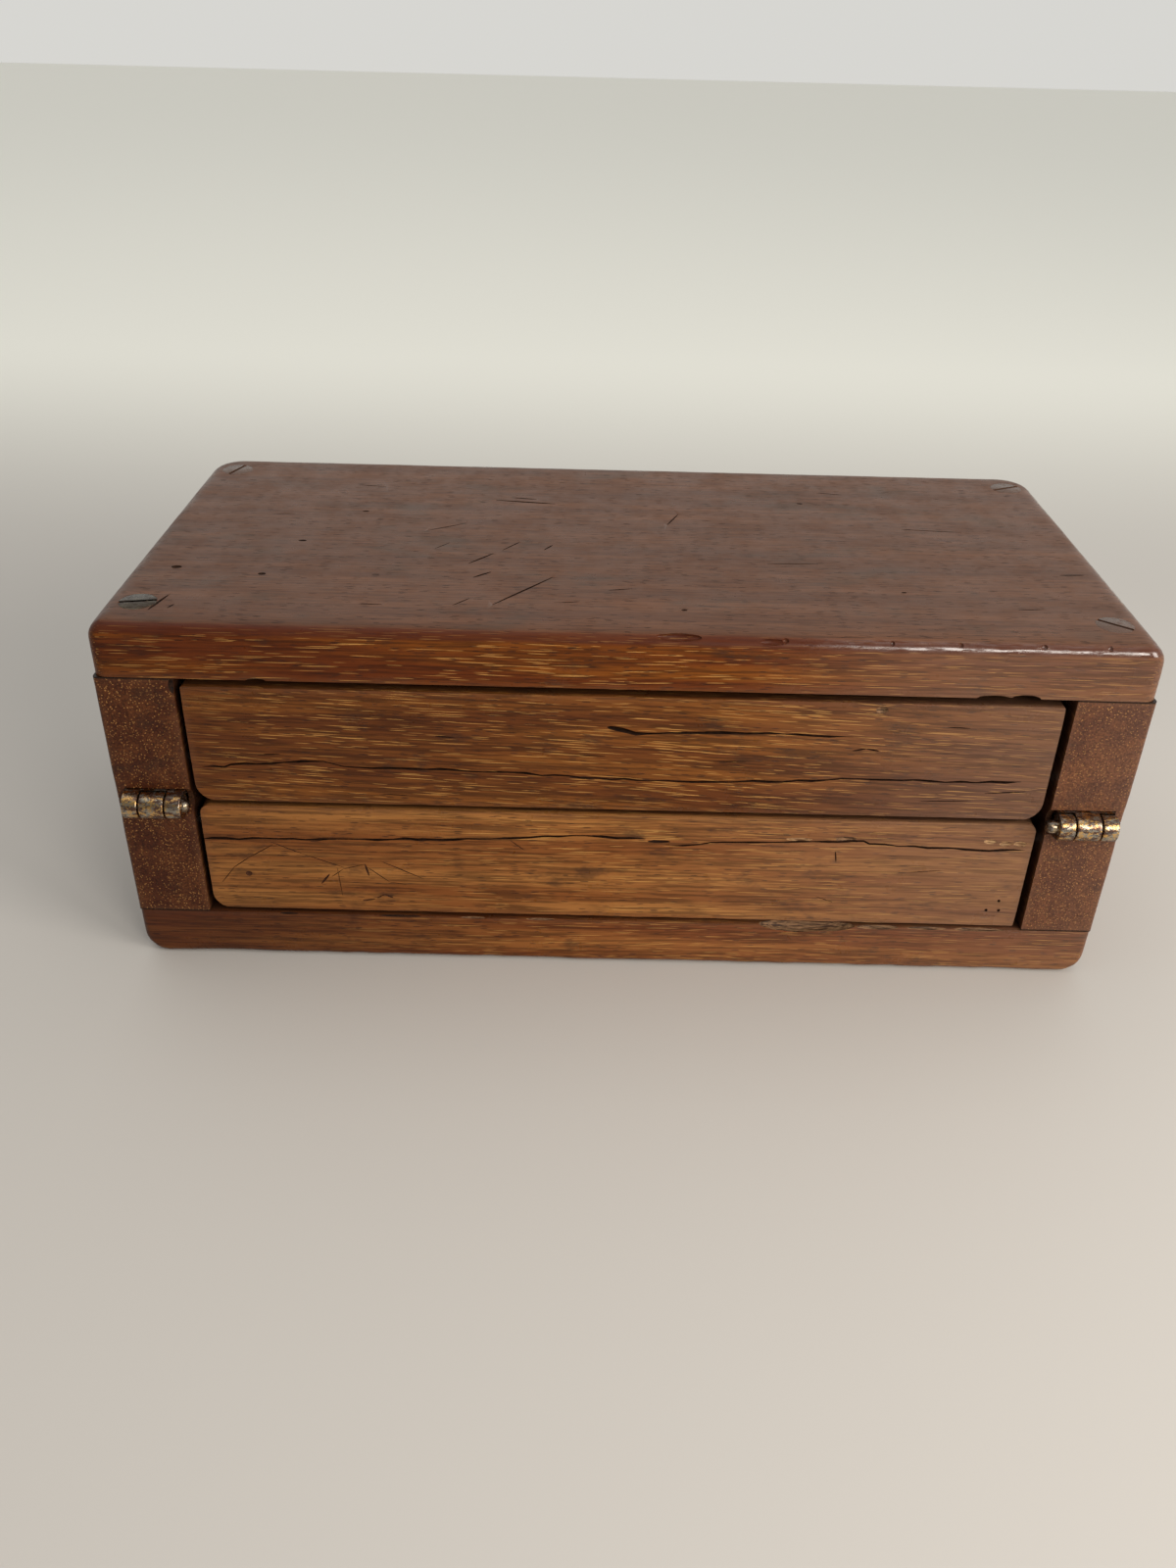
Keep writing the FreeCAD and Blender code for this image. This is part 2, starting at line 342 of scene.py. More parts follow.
def wander(path, share, seed, step=3.5, sway=0.22):
    """Points in millimetres along a crack, given a share of the full section, with a seeded sway."""
    dice = random.Random(seed)
    points = []
    for (x0, z0), (x1, z1) in zip(path, path[1:]):
        count = max(1, round(abs(x1 - x0) / step))
        for index in range(count):
            at = index / count
            swayed = z0 + (z1 - z0) * at + dice.uniform(-sway, sway)
            points.append((x0 + (x1 - x0) * at, swayed, share * dice.uniform(0.55, 1.3)))
    points[0] = (*path[0], share * 0.15)
    points.append((*path[-1], share * 0.15))
    return points


def crack(points, half_width, depth, material):
    """Tool for a long crack in a front face: a diamond section drawn out along X."""
    deselect()
    places = [(Vector((x * MM, FRONT, z * MM)), share) for x, z, share in points]
    start, share = places[0]
    bpy.ops.mesh.primitive_circle_add(
        vertices=4, radius=1, fill_type="NGON", location=start, rotation=(0, math.pi / 2, 0)
    )
    piece = bpy.context.active_object
    piece.data.materials.append(material)
    # the circle's own X axis now points down and its own Y axis points into the wood
    piece.scale = (half_width * share, depth * share, 1)
    settle("crack")
    bpy.ops.object.mode_set(mode="EDIT")
    bpy.ops.mesh.select_mode(type="FACE")
    bpy.ops.mesh.select_all(action="SELECT")
    for (before, was), (here, share) in zip(places, places[1:]):
        bpy.ops.mesh.extrude_region_move(TRANSFORM_OT_translate={"value": here - before})
        grow = share / was
        bpy.ops.transform.resize(value=(1, grow, grow), center_override=here)
    leave()
    face_out(piece)
    return piece


def scratch(start, end, half_width, depth, face, material):
    """Tool for a straight scratch, pointed at both ends, in the top or a front face."""
    deselect()
    (a0, b0), (a1, b1) = start, end
    long = math.hypot(a1 - a0, b1 - b0) / 2
    angle = math.atan2(b1 - b0, a1 - a0)
    if face == "front":
        place = ((a0 + a1) / 2 * MM, FRONT, (b0 + b1) / 2 * MM)
        turn = (0, -angle, 0)
        size = (long, depth, half_width)
    else:
        place = ((a0 + a1) / 2 * MM, (b0 + b1) / 2 * MM, TOP)
        turn = (0, 0, angle)
        size = (long, half_width, depth)
    bpy.ops.mesh.primitive_ico_sphere_add(subdivisions=2, radius=1, location=place, rotation=turn)
    piece = bpy.context.active_object
    piece.scale = Vector(size) * MM
    settle("scratch")
    piece.data.materials.append(material)
    return piece


def gouge(centre, size, material, roughness=0.25, detail=3):
    """Tool for a chip or dent: a broken lump with its size in millimetres."""
    deselect()
    bpy.ops.mesh.primitive_ico_sphere_add(subdivisions=detail, radius=1, location=centre)
    piece = bpy.context.active_object
    piece.scale = Vector(size) * MM
    settle("gouge")
    piece.data.materials.append(material)
    texture = bpy.data.textures.new("break", "CLOUDS")
    texture.noise_scale = max(size) * 0.35 * MM
    strength = min(size) * roughness * MM
    for direction in "YZ":
        modify(
            piece, "DISPLACE", texture=texture, texture_coords="LOCAL", strength=strength, mid_level=0.5,
            direction=direction,
        )
    return piece


def turned(name, x, y, rings, sides=40):
    """Round solid about an upright axis: each ring is a radius and a height."""
    deselect()
    radius, height = rings[0]
    bpy.ops.mesh.primitive_circle_add(
        vertices=sides, radius=radius, fill_type="NGON", location=(x, y, height)
    )
    piece = settle(name)
    bpy.ops.object.mode_set(mode="EDIT")
    bpy.ops.mesh.select_mode(type="FACE")
    bpy.ops.mesh.select_all(action="SELECT")
    for (was, before), (radius, height) in zip(rings, rings[1:]):
        bpy.ops.mesh.extrude_region_move(TRANSFORM_OT_translate={"value": (0, 0, height - before)})
        grow = radius / was
        bpy.ops.transform.resize(value=(grow, grow, 1), center_override=(x, y, height))
    leave()
    face_out(piece)
    return piece


def twin(piece, x, y, angle):
    """Copy of a turned piece with its own mesh, moved across and turned about its own axis."""
    hold(piece)
    bpy.ops.object.duplicate()
    copy = bpy.context.active_object
    copy.location = (x, y, 0)
    copy.rotation_euler = (0, 0, math.radians(angle))
    return settle("twin")


# ---------------------------------------------------------------- finishes


class Finish:
    """A node material being put together on a piece's own coordinates, in millimetres."""

    def __init__(self, name):
        self.material = bpy.data.materials.new(name)
        self.material.use_nodes = True
        self.tree = self.material.node_tree
        self.surface = self.tree.nodes["Principled BSDF"]
        coords = self.tree.nodes.new("ShaderNodeTexCoord").outputs["Object"]
        self.place = self.stretch(coords, (1000, 1000, 1000))

    def node(self, kind, values, **settings):
        made = self.tree.nodes.new(kind)
        for key, value in settings.items():
            setattr(made, key, value)
        for key, value in values.items():
            if isinstance(value, bpy.types.NodeSocket):
                self.tree.links.new(value, made.inputs[key])
            else:
                made.inputs[key].default_value = value
        return made

    def stretch(self, vector, by):
        return self.node("ShaderNodeVectorMath", {0: vector, 1: by}, operation="MULTIPLY").outputs[0]

    def sum(self, a, b):
        return self.node("ShaderNodeVectorMath", {0: a, 1: b}, operation="ADD").outputs[0]

    def math(self, operation, a, b=0.0):
        return self.node("ShaderNodeMath", {0: a, 1: b}, operation=operation).outputs[0]

    def plus(self, a, b):
        return self.math("ADD", a, b)

    def minus(self, a, b):
        return self.math("SUBTRACT", a, b)

    def times(self, a, b):
        return self.math("MULTIPLY", a, b)

    def least(self, a, b):
        return self.math("MINIMUM", a, b)

    def most(self, a, b):
        return self.math("MAXIMUM", a, b)

    def noise(self, vector, detail=2.0, roughness=0.5, distortion=0.0):
        values = {"Vector": vector, "Scale": 1.0, "Detail": detail, "Roughness": roughness}
        return self.node("ShaderNodeTexNoise", {**values, "Distortion": distortion})

    def grain(self, size, detail=2.0, roughness=0.5, distortion=0.0, vector=None):
        """Noise whose features have the given size in millimetres along each axis."""
        by = tuple(1 / length for length in size)
        stretched = self.stretch(self.place if vector is None else vector, by)
        return self.noise(stretched, detail, roughness, distortion).outputs["Fac"]

    def dashes(self, vector, size, reach, share):
        """Separate pointed dashes: size of their cells in millimetres, their reach and the share kept."""
        scaled = self.stretch(vector, tuple(1 / length for length in size))
        cells = self.node("ShaderNodeTexVoronoi", {"Vector": scaled, "Scale": 1.0, "Randomness": 1.0})
        ragged = self.grain(tuple(length * 0.35 for length in size), 2, 0.6, 0.0, vector)
        distance = self.plus(cells.outputs["Distance"], self.times(ragged, 0.14))
        shape = self.between(distance, reach + 0.03, reach + 0.10, 1.0, 0.0)
        chance = self.node("ShaderNodeSeparateColor", {"Color": cells.outputs["Color"]}).outputs[0]
        kept = self.math("LESS_THAN", chance, share)
        return self.times(shape, kept)

    def between(self, value, low, high, to_low=0.0, to_high=1.0):
        """Smooth step of a value from one level to another."""
        values = {0: value, 1: low, 2: high, 3: to_low, 4: to_high}
        return self.node("ShaderNodeMapRange", values, interpolation_type="SMOOTHSTEP").outputs[0]

    def mix(self, share, a, b, blend="MIX"):
        made = self.node("ShaderNodeMix", {0: share, 6: a, 7: b}, data_type="RGBA", blend_type=blend)
        return made.outputs[2]

    def colour(self, value):
        self.tree.links.new(value, self.surface.inputs["Base Color"])

    def feed(self, name, value):
        """Link a socket, or set a value that is the same all over."""
        if isinstance(value, bpy.types.NodeSocket):
            self.tree.links.new(value, self.surface.inputs[name])
        else:
            self.surface.inputs[name].default_value = value

    def relief(self, height, distance_mm, strength=1.0):
        bump = self.node(
            "ShaderNodeBump", {"Height": height, "Distance": distance_mm * MM, "Strength": strength}
        )
        self.tree.links.new(bump.outputs[0], self.surface.inputs["Normal"])


def rgb(red, green, blue):
    return (red, green, blue, 1)


# Colours that wear, dust and dirt give the wood, and its painted shade, sheen and dark reflection
BLACK = rgb(0, 0, 0)
DARK_PORE = rgb(0.022, 0.009, 0.005)
RUBBED_EDGE = rgb(0.15, 0.062, 0.028)
DIRT = rgb(0.040, 0.018, 0.010)
# painted shade that darkens the left end
LEFT_SHADE = rgb(0.026, 0.007, 0.006)
# painted sheen, a lighter grey haze toward the right
PAINTED_SHEEN = rgb(0.175, 0.112, 0.084)
# top face greyed by dust and by a painted sheen of reflected light
DUST_AND_SHEEN_DEEP = rgb(0.110, 0.048, 0.026)
DUST_AND_SHEEN_WARM = rgb(0.150, 0.066, 0.035)
DUST_AND_SHEEN_FIBRE = rgb(0.062, 0.027, 0.016)
DUSTY_LINE = rgb(0.026, 0.012, 0.008)
STAIN = rgb(0.062, 0.042, 0.030)
# painted dark reflection on the rounded edge under the top face
RIM_DARK_REFLECTION = rgb(0.070, 0.017, 0.009)
# painted shade in the gaps and hollows inside the case
PAINTED_GAP_SHADE = rgb(0.030, 0.014, 0.008)
JOINT_LINE = rgb(0.010, 0.005, 0.003)

# places along X, in millimetres, between which the painted shade on the left ends and the top edge's shine
# starts
SHADE_END = (-115, 15)
SHINE_START = (38, 56)


class Mahogany(Finish):
    """Old polished mahogany on one piece, with its grain along one axis."""

    def __init__(self, name, node, grain_axis, tilt):
        super().__init__(name)
        self.low, self.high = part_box(node)
        self.grain_axis = grain_axis
        self.parts = self.node("ShaderNodeSeparateXYZ", {0: self.place}).outputs
        self.drifted = self.drift(tilt)
        self.bands = self.grain(self.sized(140, 6), 3, 0.6, 0.3, self.drifted)
        self.fibres = self.grain(self.sized(16, 0.6), 3, 0.65, 0.0, self.drifted)
        pore_place = self.sum(self.drifted, (41.7, 12.9, 47.1))
        self.pores = self.dashes(pore_place, self.sized(4.6, 0.55), 0.24, 0.5)

    def sized(self, length, thickness):
        """Size of a feature that lies along the grain."""
        size = [thickness, thickness, thickness]
        size[self.grain_axis] = length
        return size

    def drift(self, tilt):
        """Places for the grain, which wanders across its own direction and falls along X."""
        by = tuple(1 / length for length in self.sized(80, 18))
        wandering = self.noise(self.stretch(self.place, by), 1).outputs["Color"]
        across = [2.5, 0.8, 2.5]
        across[self.grain_axis] = 0
        place = self.sum(self.place, self.stretch(wandering, across))
        fall = self.node("ShaderNodeCombineXYZ", {2: self.times(self.parts[0], tilt)}).outputs[0]
        return self.sum(place, fall)

    def bare_wood(self, deep, warm):
        """Bands of two colours with darker fibres."""
        wood = self.mix(self.between(self.bands, 0.34, 0.66), deep, warm)
        darker = self.mix(0.62, wood, BLACK)
        return self.mix(self.between(self.fibres, 0.42, 0.62, 0.0, 0.85), wood, darker)

    def pale_dashes(self, share, fade, on_face):
        """Long and short pale dashes, in patches, and hardly any on the top face under its dust and painted
        sheen.
        """
        # end grain shows the dashes as specks, which are wider
        thick = 1.9 if self.grain_axis == 1 else 1.0
        long_dashes = self.dashes(self.drifted, self.sized(26, 0.44 * thick), 0.2, share)
        short_place = self.sum(self.drifted, (13.1, 7.7, 29.3))
        short_dashes = self.dashes(short_place, self.sized(11, 0.38 * thick), 0.22, 0.8 * share)
        pale = self.most(long_dashes, self.times(short_dashes, 0.8))
        patches = self.between(self.grain((24, 24, 10), 3, 0.6), 0.34, 0.58, 0.6, 1.0)
        pale = self.times(pale, patches)
        if fade:
            pale = self.times(pale, self.between(self.parts[0], *fade, 0.12, 1.0))
        if on_face is not None:
            pale = self.times(pale, self.between(on_face, 0.0, 1.0, 1.0, 0.06))
        return pale

    def edge_distance(self):
        """Distance in millimetres from the piece's nearest long edge, by its box."""
        gaps = []
        for axis in range(3):
            from_low = self.minus(self.parts[axis], self.low[axis] / MM)
            from_high = self.minus(self.high[axis] / MM, self.parts[axis])
            gaps.append(self.least(from_low, from_high))
        lower = self.least(gaps[0], gaps[1])
        upper = self.most(gaps[0], gaps[1])
        return self.most(lower, self.least(upper, gaps[2]))

    def rubbed_edges(self):
        """1 at an edge rubbed by hands, with a ragged border."""
        scuff = self.grain((8, 8, 8), 4, 0.65)
        reach = self.plus(self.edge_distance(), self.times(scuff, 4.5))
        return self.between(reach, 1.8, 4.6, 1.0, 0.0)

    def wear_and_painted_light(self, wood, rubbed, shade, sheen_span):
        """Rubbed edges and dirt, then painted shade darkening the left end and a painted sheen toward the
        right.
        """
        wood = self.mix(self.times(rubbed, 0.4), wood, RUBBED_EDGE)
        dirt = self.between(self.grain((15, 15, 8), 4, 0.7), 0.55, 0.72, 0.0, 0.6)
        wood = self.mix(dirt, wood, DIRT)
        # painted shade: darker toward the left end
        wood = self.mix(self.between(self.parts[0], *SHADE_END, shade, 0.0), wood, LEFT_SHADE)
        # painted sheen: lighter and greyer toward the right, broken by the grain
        if sheen_span:
            painted_sheen = self.between(self.parts[0], *sheen_span, 0.0, 0.6)
            painted_sheen = self.times(painted_sheen, self.between(self.fibres, 0.25, 0.7, 1.0, 0.6))
            wood = self.mix(painted_sheen, wood, PAINTED_SHEEN)
        return wood

    def dust_and_sheen_top(self, wood, on_face):
        """Top face greyed by dust and by a painted sheen of reflected light, with dark lines and stains."""
        grey = self.mix(self.between(self.bands, 0.3, 0.7), DUST_AND_SHEEN_DEEP, DUST_AND_SHEEN_WARM)
        grey = self.mix(self.between(self.fibres, 0.40, 0.68, 0.0, 0.7), grey, DUST_AND_SHEEN_FIBRE)
        lines = self.dashes(self.sum(self.drifted, (5.3, 71.1, 3.7)), self.sized(11, 0.75), 0.2, 0.7)
        lines = self.most(self.times(lines, 0.6), self.times(self.pores, 0.85))
        grey = self.mix(lines, grey, DUSTY_LINE)
        stain = self.between(self.grain((34, 16, 16), 4, 0.72), 0.52, 0.68, 0.0, 0.5)
        grey = self.mix(stain, grey, STAIN)
        return self.mix(self.times(on_face, 0.93), wood, grey)

    def rim_under(self, face_start, on_face):
        """1 on the rounded edge just under the top face, where a dark reflection is painted."""
        rim = self.between(self.parts[2], face_start - 2.4, face_start - 1.2)
        return self.times(rim, self.minus(1.0, on_face))

    def shine(self, rim):
        """Broken line of shine along the right part of a rim."""
        broken = self.between(self.grain((5, 0.8, 0.8), 3, 0.7), 0.36, 0.56)
        return self.times(self.times(rim, broken), self.between(self.parts[0], *SHINE_START))

    def depth_inside(self):
        """Distance in millimetres into the space within the case's outside faces."""
        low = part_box("bottom_board")[0] / MM
        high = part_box("top_board")[1] / MM
        gaps = []
        for axis, skin in ((0, 1.5), (2, 8.0)):
            from_low = self.minus(self.parts[axis], low[axis] + skin)
            from_high = self.minus(high[axis] - skin, self.parts[axis])
            gaps.append(self.least(from_low, from_high))
        gaps.append(self.minus(BACK / MM - 2.0, self.parts[1]))
        return self.least(gaps[0], self.least(gaps[1], gaps[2]))

    def painted_shade_inside(self, wood):
        """Painted shade: wood darkened in the gaps and hollows away from the outside faces."""
        front = self.low.y / MM
        behind = self.between(self.parts[1], front + 0.5, front + 2.0, 0.0, 0.7)
        inside = self.between(self.depth_inside(), 0.0, 1.0)
        return self.mix(self.times(behind, inside), wood, PAINTED_GAP_SHADE)

    def joint_line(self, wood, joint_z):
        """Dark line where an end block meets its board."""
        from_joint = self.math("ABSOLUTE", self.minus(self.parts[2], joint_z / MM))
        return self.mix(self.between(from_joint, 0.25, 0.65, 0.92, 0.0), wood, JOINT_LINE)


def mahogany(
    name, node, grain_axis, deep, warm, dash, dash_share,
    fade=None, sheen_span=None, top_heights=None, shade=0.18, tilt=0.0,
):
    """
    Old polished mahogany: wandering grain, pale and dark pores, dirt, and edges rubbed by hands.
    Fade is the two places along X, in millimetres, between which the pale dashes fade in; the span of
    the painted sheen toward the right is given the same way, and the top heights are those between which
    the top face starts, greyed by dust and a painted sheen. Shade is how much painted shade darkens the
    wood at its far left, and tilt how far the grain falls along X.
    """
    finish = Mahogany(name, node, grain_axis, tilt)
    on_face = finish.between(finish.parts[2], *top_heights) if top_heights else None
    pale = finish.pale_dashes(dash_share, fade, on_face)
    rubbed = finish.rubbed_edges()
    wood = finish.mix(pale, finish.bare_wood(deep, warm), dash)
    wood = finish.mix(finish.times(finish.pores, 0.7), wood, DARK_PORE)
    wood = finish.wear_and_painted_light(wood, rubbed, shade, sheen_span)
    gloss = finish.between(finish.grain((12, 12, 12), 4, 0.7), 0.3, 0.7, 0.26, 0.46)
    specular = 0.16
    if top_heights:
        rim = finish.rim_under(top_heights[0], on_face)
        shine = finish.shine(rim)
        # dust and a painted sheen grey the top face
        wood = finish.dust_and_sheen_top(wood, on_face)
        # painted dark reflection on the rounded edge under the top face
        wood = finish.mix(finish.times(rim, 0.75), wood, RIM_DARK_REFLECTION)
        gloss = finish.minus(gloss, finish.times(shine, 0.17))
        specular = finish.plus(0.14, finish.times(shine, 0.6))
    # painted shade in the gaps inside the case
    wood = finish.painted_shade_inside(wood)
    if grain_axis == 1:
        wood = finish.joint_line(wood, finish.high.z if node.startswith("upper") else finish.low.z)
    finish.colour(wood)
    gloss = finish.minus(gloss, finish.times(rubbed, 0.05))
    finish.feed("Roughness", finish.plus(gloss, finish.times(finish.pores, 0.2)))
    finish.feed("Specular IOR Level", specular)
    height = finish.minus(finish.times(finish.fibres, -0.4), finish.pores)
    height = finish.minus(height, finish.times(pale, 0.3))
    finish.relief(height, 0.06, 0.7)
    return finish.material


def crack_dirt(name, dark, light):
    """Dirt and old polish inside cracks, scratches and small dents."""
    finish = Finish(name)
    lumps = finish.grain((1.5, 0.8, 0.8), 4, 0.7)
    finish.colour(finish.mix(finish.between(lumps, 0.35, 0.7), dark, light))
    finish.feed("Roughness", finish.between(lumps, 0.3, 0.7, 0.55, 0.9))
    finish.feed("Specular IOR Level", 0.12)
    finish.relief(lumps, 0.2)
    return finish.material


def torn_wood(name, dark, light):
    """Broken fibres inside a chip, polished over by age."""
    finish = Finish(name)
    fibres = finish.grain((5, 0.45, 0.45), 3, 0.7)
    wood = finish.mix(finish.between(fibres, 0.38, 0.62), dark, light)
    green = finish.between(finish.grain((3, 2, 2), 2), 0.5, 0.68, 0.0, 0.4)
    finish.colour(finish.mix(green, wood, rgb(0.105, 0.062, 0.032)))
    finish.feed("Specular IOR Level", 0.2)
    finish.feed("Roughness", finish.between(fibres, 0.3, 0.7, 0.3, 0.6))
    finish.relief(fibres, 0.35)
    return finish.material


def old_brass(name, gold, silver, brown, grime_share, polished_over=False):
    """Tarnished brass: gold flecks, grey where it is rubbed, brown and grimy in the hollows."""
    finish = Finish(name)
    patches = finish.grain((1.7, 1.2, 1.2), 4, 0.7, 0.5)
    specks = finish.grain((0.4, 0.4, 0.4), 3, 0.7)
    wipes = finish.grain((2.6, 1.0, 1.0), 3, 0.6, 0.0, finish.sum(finish.place, (9.3, 4.1, 2.7)))
    metal = finish.mix(finish.between(wipes, 0.42, 0.58), silver, brown)
    flecks = finish.between(finish.plus(patches, finish.times(specks, 0.5)), 0.74, 0.86)
    metal = finish.mix(flecks, metal, gold)
    spread = finish.plus(patches, finish.times(specks, 0.35))
    grime = finish.between(spread, 0.54, 0.66, grime_share, 0.0)
    metal = finish.mix(grime, metal, rgb(0.040, 0.020, 0.014))
    bright = finish.between(grime, 0.2, 0.8, 1.0, 0.3)
    if polished_over:
        # wood polish covers the heads on the right and at the back
        parts = finish.node("ShaderNodeSeparateXYZ", {0: finish.place}).outputs
        cover = finish.most(finish.between(parts[0], 0, 60), finish.between(parts[1], 0, 30))
        cover = finish.times(cover, 0.85)
        metal = finish.mix(cover, metal, rgb(0.105, 0.050, 0.030))
        bright = finish.times(bright, finish.minus(1.0, cover))
    finish.colour(metal)
    finish.feed("Metallic", bright)
    finish.feed("Roughness", finish.between(finish.plus(wipes, grime), 0.4, 1.2, 0.24, 0.55))
    finish.relief(finish.plus(patches, finish.times(specks, 0.4)), 0.14, 0.6)
    return finish.material


def dull_steel():
    """Drawn steel rod, greyed by age."""
    finish = Finish("aged_rod_steel")
    lines = finish.grain((30, 0.3, 0.3), 3)
    rust = finish.grain((4, 2, 2), 4, 0.7)
    metal = finish.mix(finish.between(lines, 0.3, 0.7), rgb(0.30, 0.29, 0.28), rgb(0.46, 0.45, 0.43))
    finish.colour(finish.mix(finish.between(rust, 0.55, 0.72, 0.0, 0.8), metal, rgb(0.10, 0.045, 0.02)))
    finish.feed("Metallic", finish.between(rust, 0.55, 0.75, 1.0, 0.4))
    finish.feed("Roughness", finish.between(rust, 0.35, 0.7, 0.3, 0.65))
    finish.relief(lines, 0.02)
    return finish.material


def counter():
    """Plain pale floor, painted lighter behind the case and softly glowing there, a painted light as if a lit
    pale wall stood there.
    """
    finish = Finish("pale_floor")
    far = finish.between(finish.node("ShaderNodeSeparateXYZ", {0: finish.place}).outputs[1], 180, 620)
    finish.colour(finish.mix(far, rgb(0.535, 0.508, 0.477), rgb(0.76, 0.75, 0.68)))
    # painted light: the far floor glows though it is no lamp
    finish.feed("Emission Color", rgb(1.0, 0.99, 0.92))
    finish.feed("Emission Strength", finish.times(far, 0.17))
    finish.feed("Roughness", 0.55)
    finish.feed("Specular IOR Level", 0.3)
    return finish.material


# ---------------------------------------------------------------- places

crack_filling = crack_dirt("crack_dirt", rgb(0.008, 0.0035, 0.002), rgb(0.034, 0.014, 0.007))
scratch_filling = crack_dirt("scratch_dirt", rgb(0.034, 0.012, 0.006), rgb(0.085, 0.032, 0.014))
chip_filling = torn_wood("torn_wood", rgb(0.045, 0.020, 0.010), rgb(0.27, 0.145, 0.070))
pale_chip = torn_wood("pale_torn_wood", rgb(0.14, 0.060, 0.025), rgb(0.48, 0.29, 0.14))

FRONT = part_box("bottom_board")[0].y
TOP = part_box("top_board")[1].z
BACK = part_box("bottom_board")[1].y
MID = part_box("upper_left_end_block")[0].z
AXIS_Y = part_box("right_hinge_lower_plate")[0].y + KNUCKLE
INNER_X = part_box("lower_right_end_block")[0].x


def dress(piece, node, body, slot, *materials):
    """Give a piece its finish and its body, and hide the CAD part that it stands for."""
    if materials and not piece.data.materials:
        for material in materials:
            piece.data.materials.append(material)
    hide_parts(node)
    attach(piece, body)
    return piece


def start_with(piece, material):
    """The first material of a piece, given before anything is cut into it."""
    piece.data.materials.append(material)


# ---------------------------------------------------------------- boards


def screw_holes(node):
    """Tools for the countersunk holes of a board or block, where its screws are."""
    low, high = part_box(node)
    head_z, tip_z, out = (low.z, high.z, -1) if node.startswith("bottom") else (high.z, low.z, 1)
    rings = [
        (SCREW_HEAD + MM, head_z + out * MM),
        (SCREW_HEAD, head_z),
        (SCREW_SHANK, head_z - out * (SCREW_HEAD - SCREW_SHANK)),
        (SCREW_SHANK, tip_z),
    ]
    return [turned("hole", x, y, rings) for x, y in screw_places(low, high)]


def screw_places(low, high):
    """Centres of a board's four screws: front left, front right, back left, back right."""
    columns = (low.x + SCREW_HEAD, high.x - SCREW_HEAD)
    rows = (low.y + SCREW_HEAD, high.y - SCREW_HEAD)
    return [(x, y) for y in rows for x in columns]


def wells(node, inner_z, outward):
    """Tools for the pick wells in a board's inner face."""
    length = (2 * INNER_X - (WELL_COUNT + 1) * WELL_LAND) / WELL_COUNT
    tools = []
    for index in range(WELL_COUNT):
        x0 = -INNER_X + WELL_LAND + index * (length + WELL_LAND)
        z0, z1 = sorted((inner_z - outward * WELL_DEPTH, inner_z + outward * 2 * MM))
        tool = block("well", (x0, FRONT + WELL_MARGIN, z0), (x0 + length, BACK - WELL_MARGIN, z1))
        round_edges(tool, lambda a, b: abs((a - b).z) > MM, WELL_CORNER, 8)
        floor_z = inner_z - outward * WELL_DEPTH
        round_edges(tool, lambda a, b: near(a.z, floor_z) and near(b.z, floor_z), WELL_FLOOR_CORNER, 3)
        tools.append(tool)
    return tools


def board(half, cuts):
    """One board: rounded outside, worn, with its wells, screw holes, scratches and chips."""
    node = BOARDS[half]
    low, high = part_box(node)
    outer_z, inner_z, outward = (high.z, low.z, 1) if half == "upper" else (low.z, high.z, -1)
    piece = block(node + "_wood", low, high)
    start_with(piece, WOOD[half + "_board"])
    for x in (low.x, high.x):
        round_edges(piece, edge_at(2, {0: x, 1: high.y}), BACK_CORNER, 8)

    def in_front(a, b):
        return near(a.y, low.y) and near(b.y, low.y)

    def at_height(a, b, height):
        return near(a.z, height) and near(b.z, height)

    def ends_and_back(a, b):
        return at_height(a, b, outer_z) and not in_front(a, b)

    def front_outline(a, b):
        return in_front(a, b) and not at_height(a, b, inner_z)

    round_edges(piece, ends_and_back, ENDS_ROUNDING[half], 7)
    round_edges(piece, front_outline, FRONT_ROUNDING[half], 6)
    slice_all(piece, BOARD_RINGS)
    weather(piece, *BOARD_WEAR)
    front_edge = edge_group(
        piece,
        "front_edge",
        lambda p: 1 - (abs(p.y - low.y) + abs(p.z - outer_z)) / EDGE_REACH,
    )
    weather(piece, *BOARD_EDGE_WEAR, front_edge)
    combine(piece, wells(node, inner_z, -outward) + screw_holes(node + "_screws"))
    carve(piece, cuts)
    smooth(piece)
    return dress(piece, node, half + "_half", "board_wood")


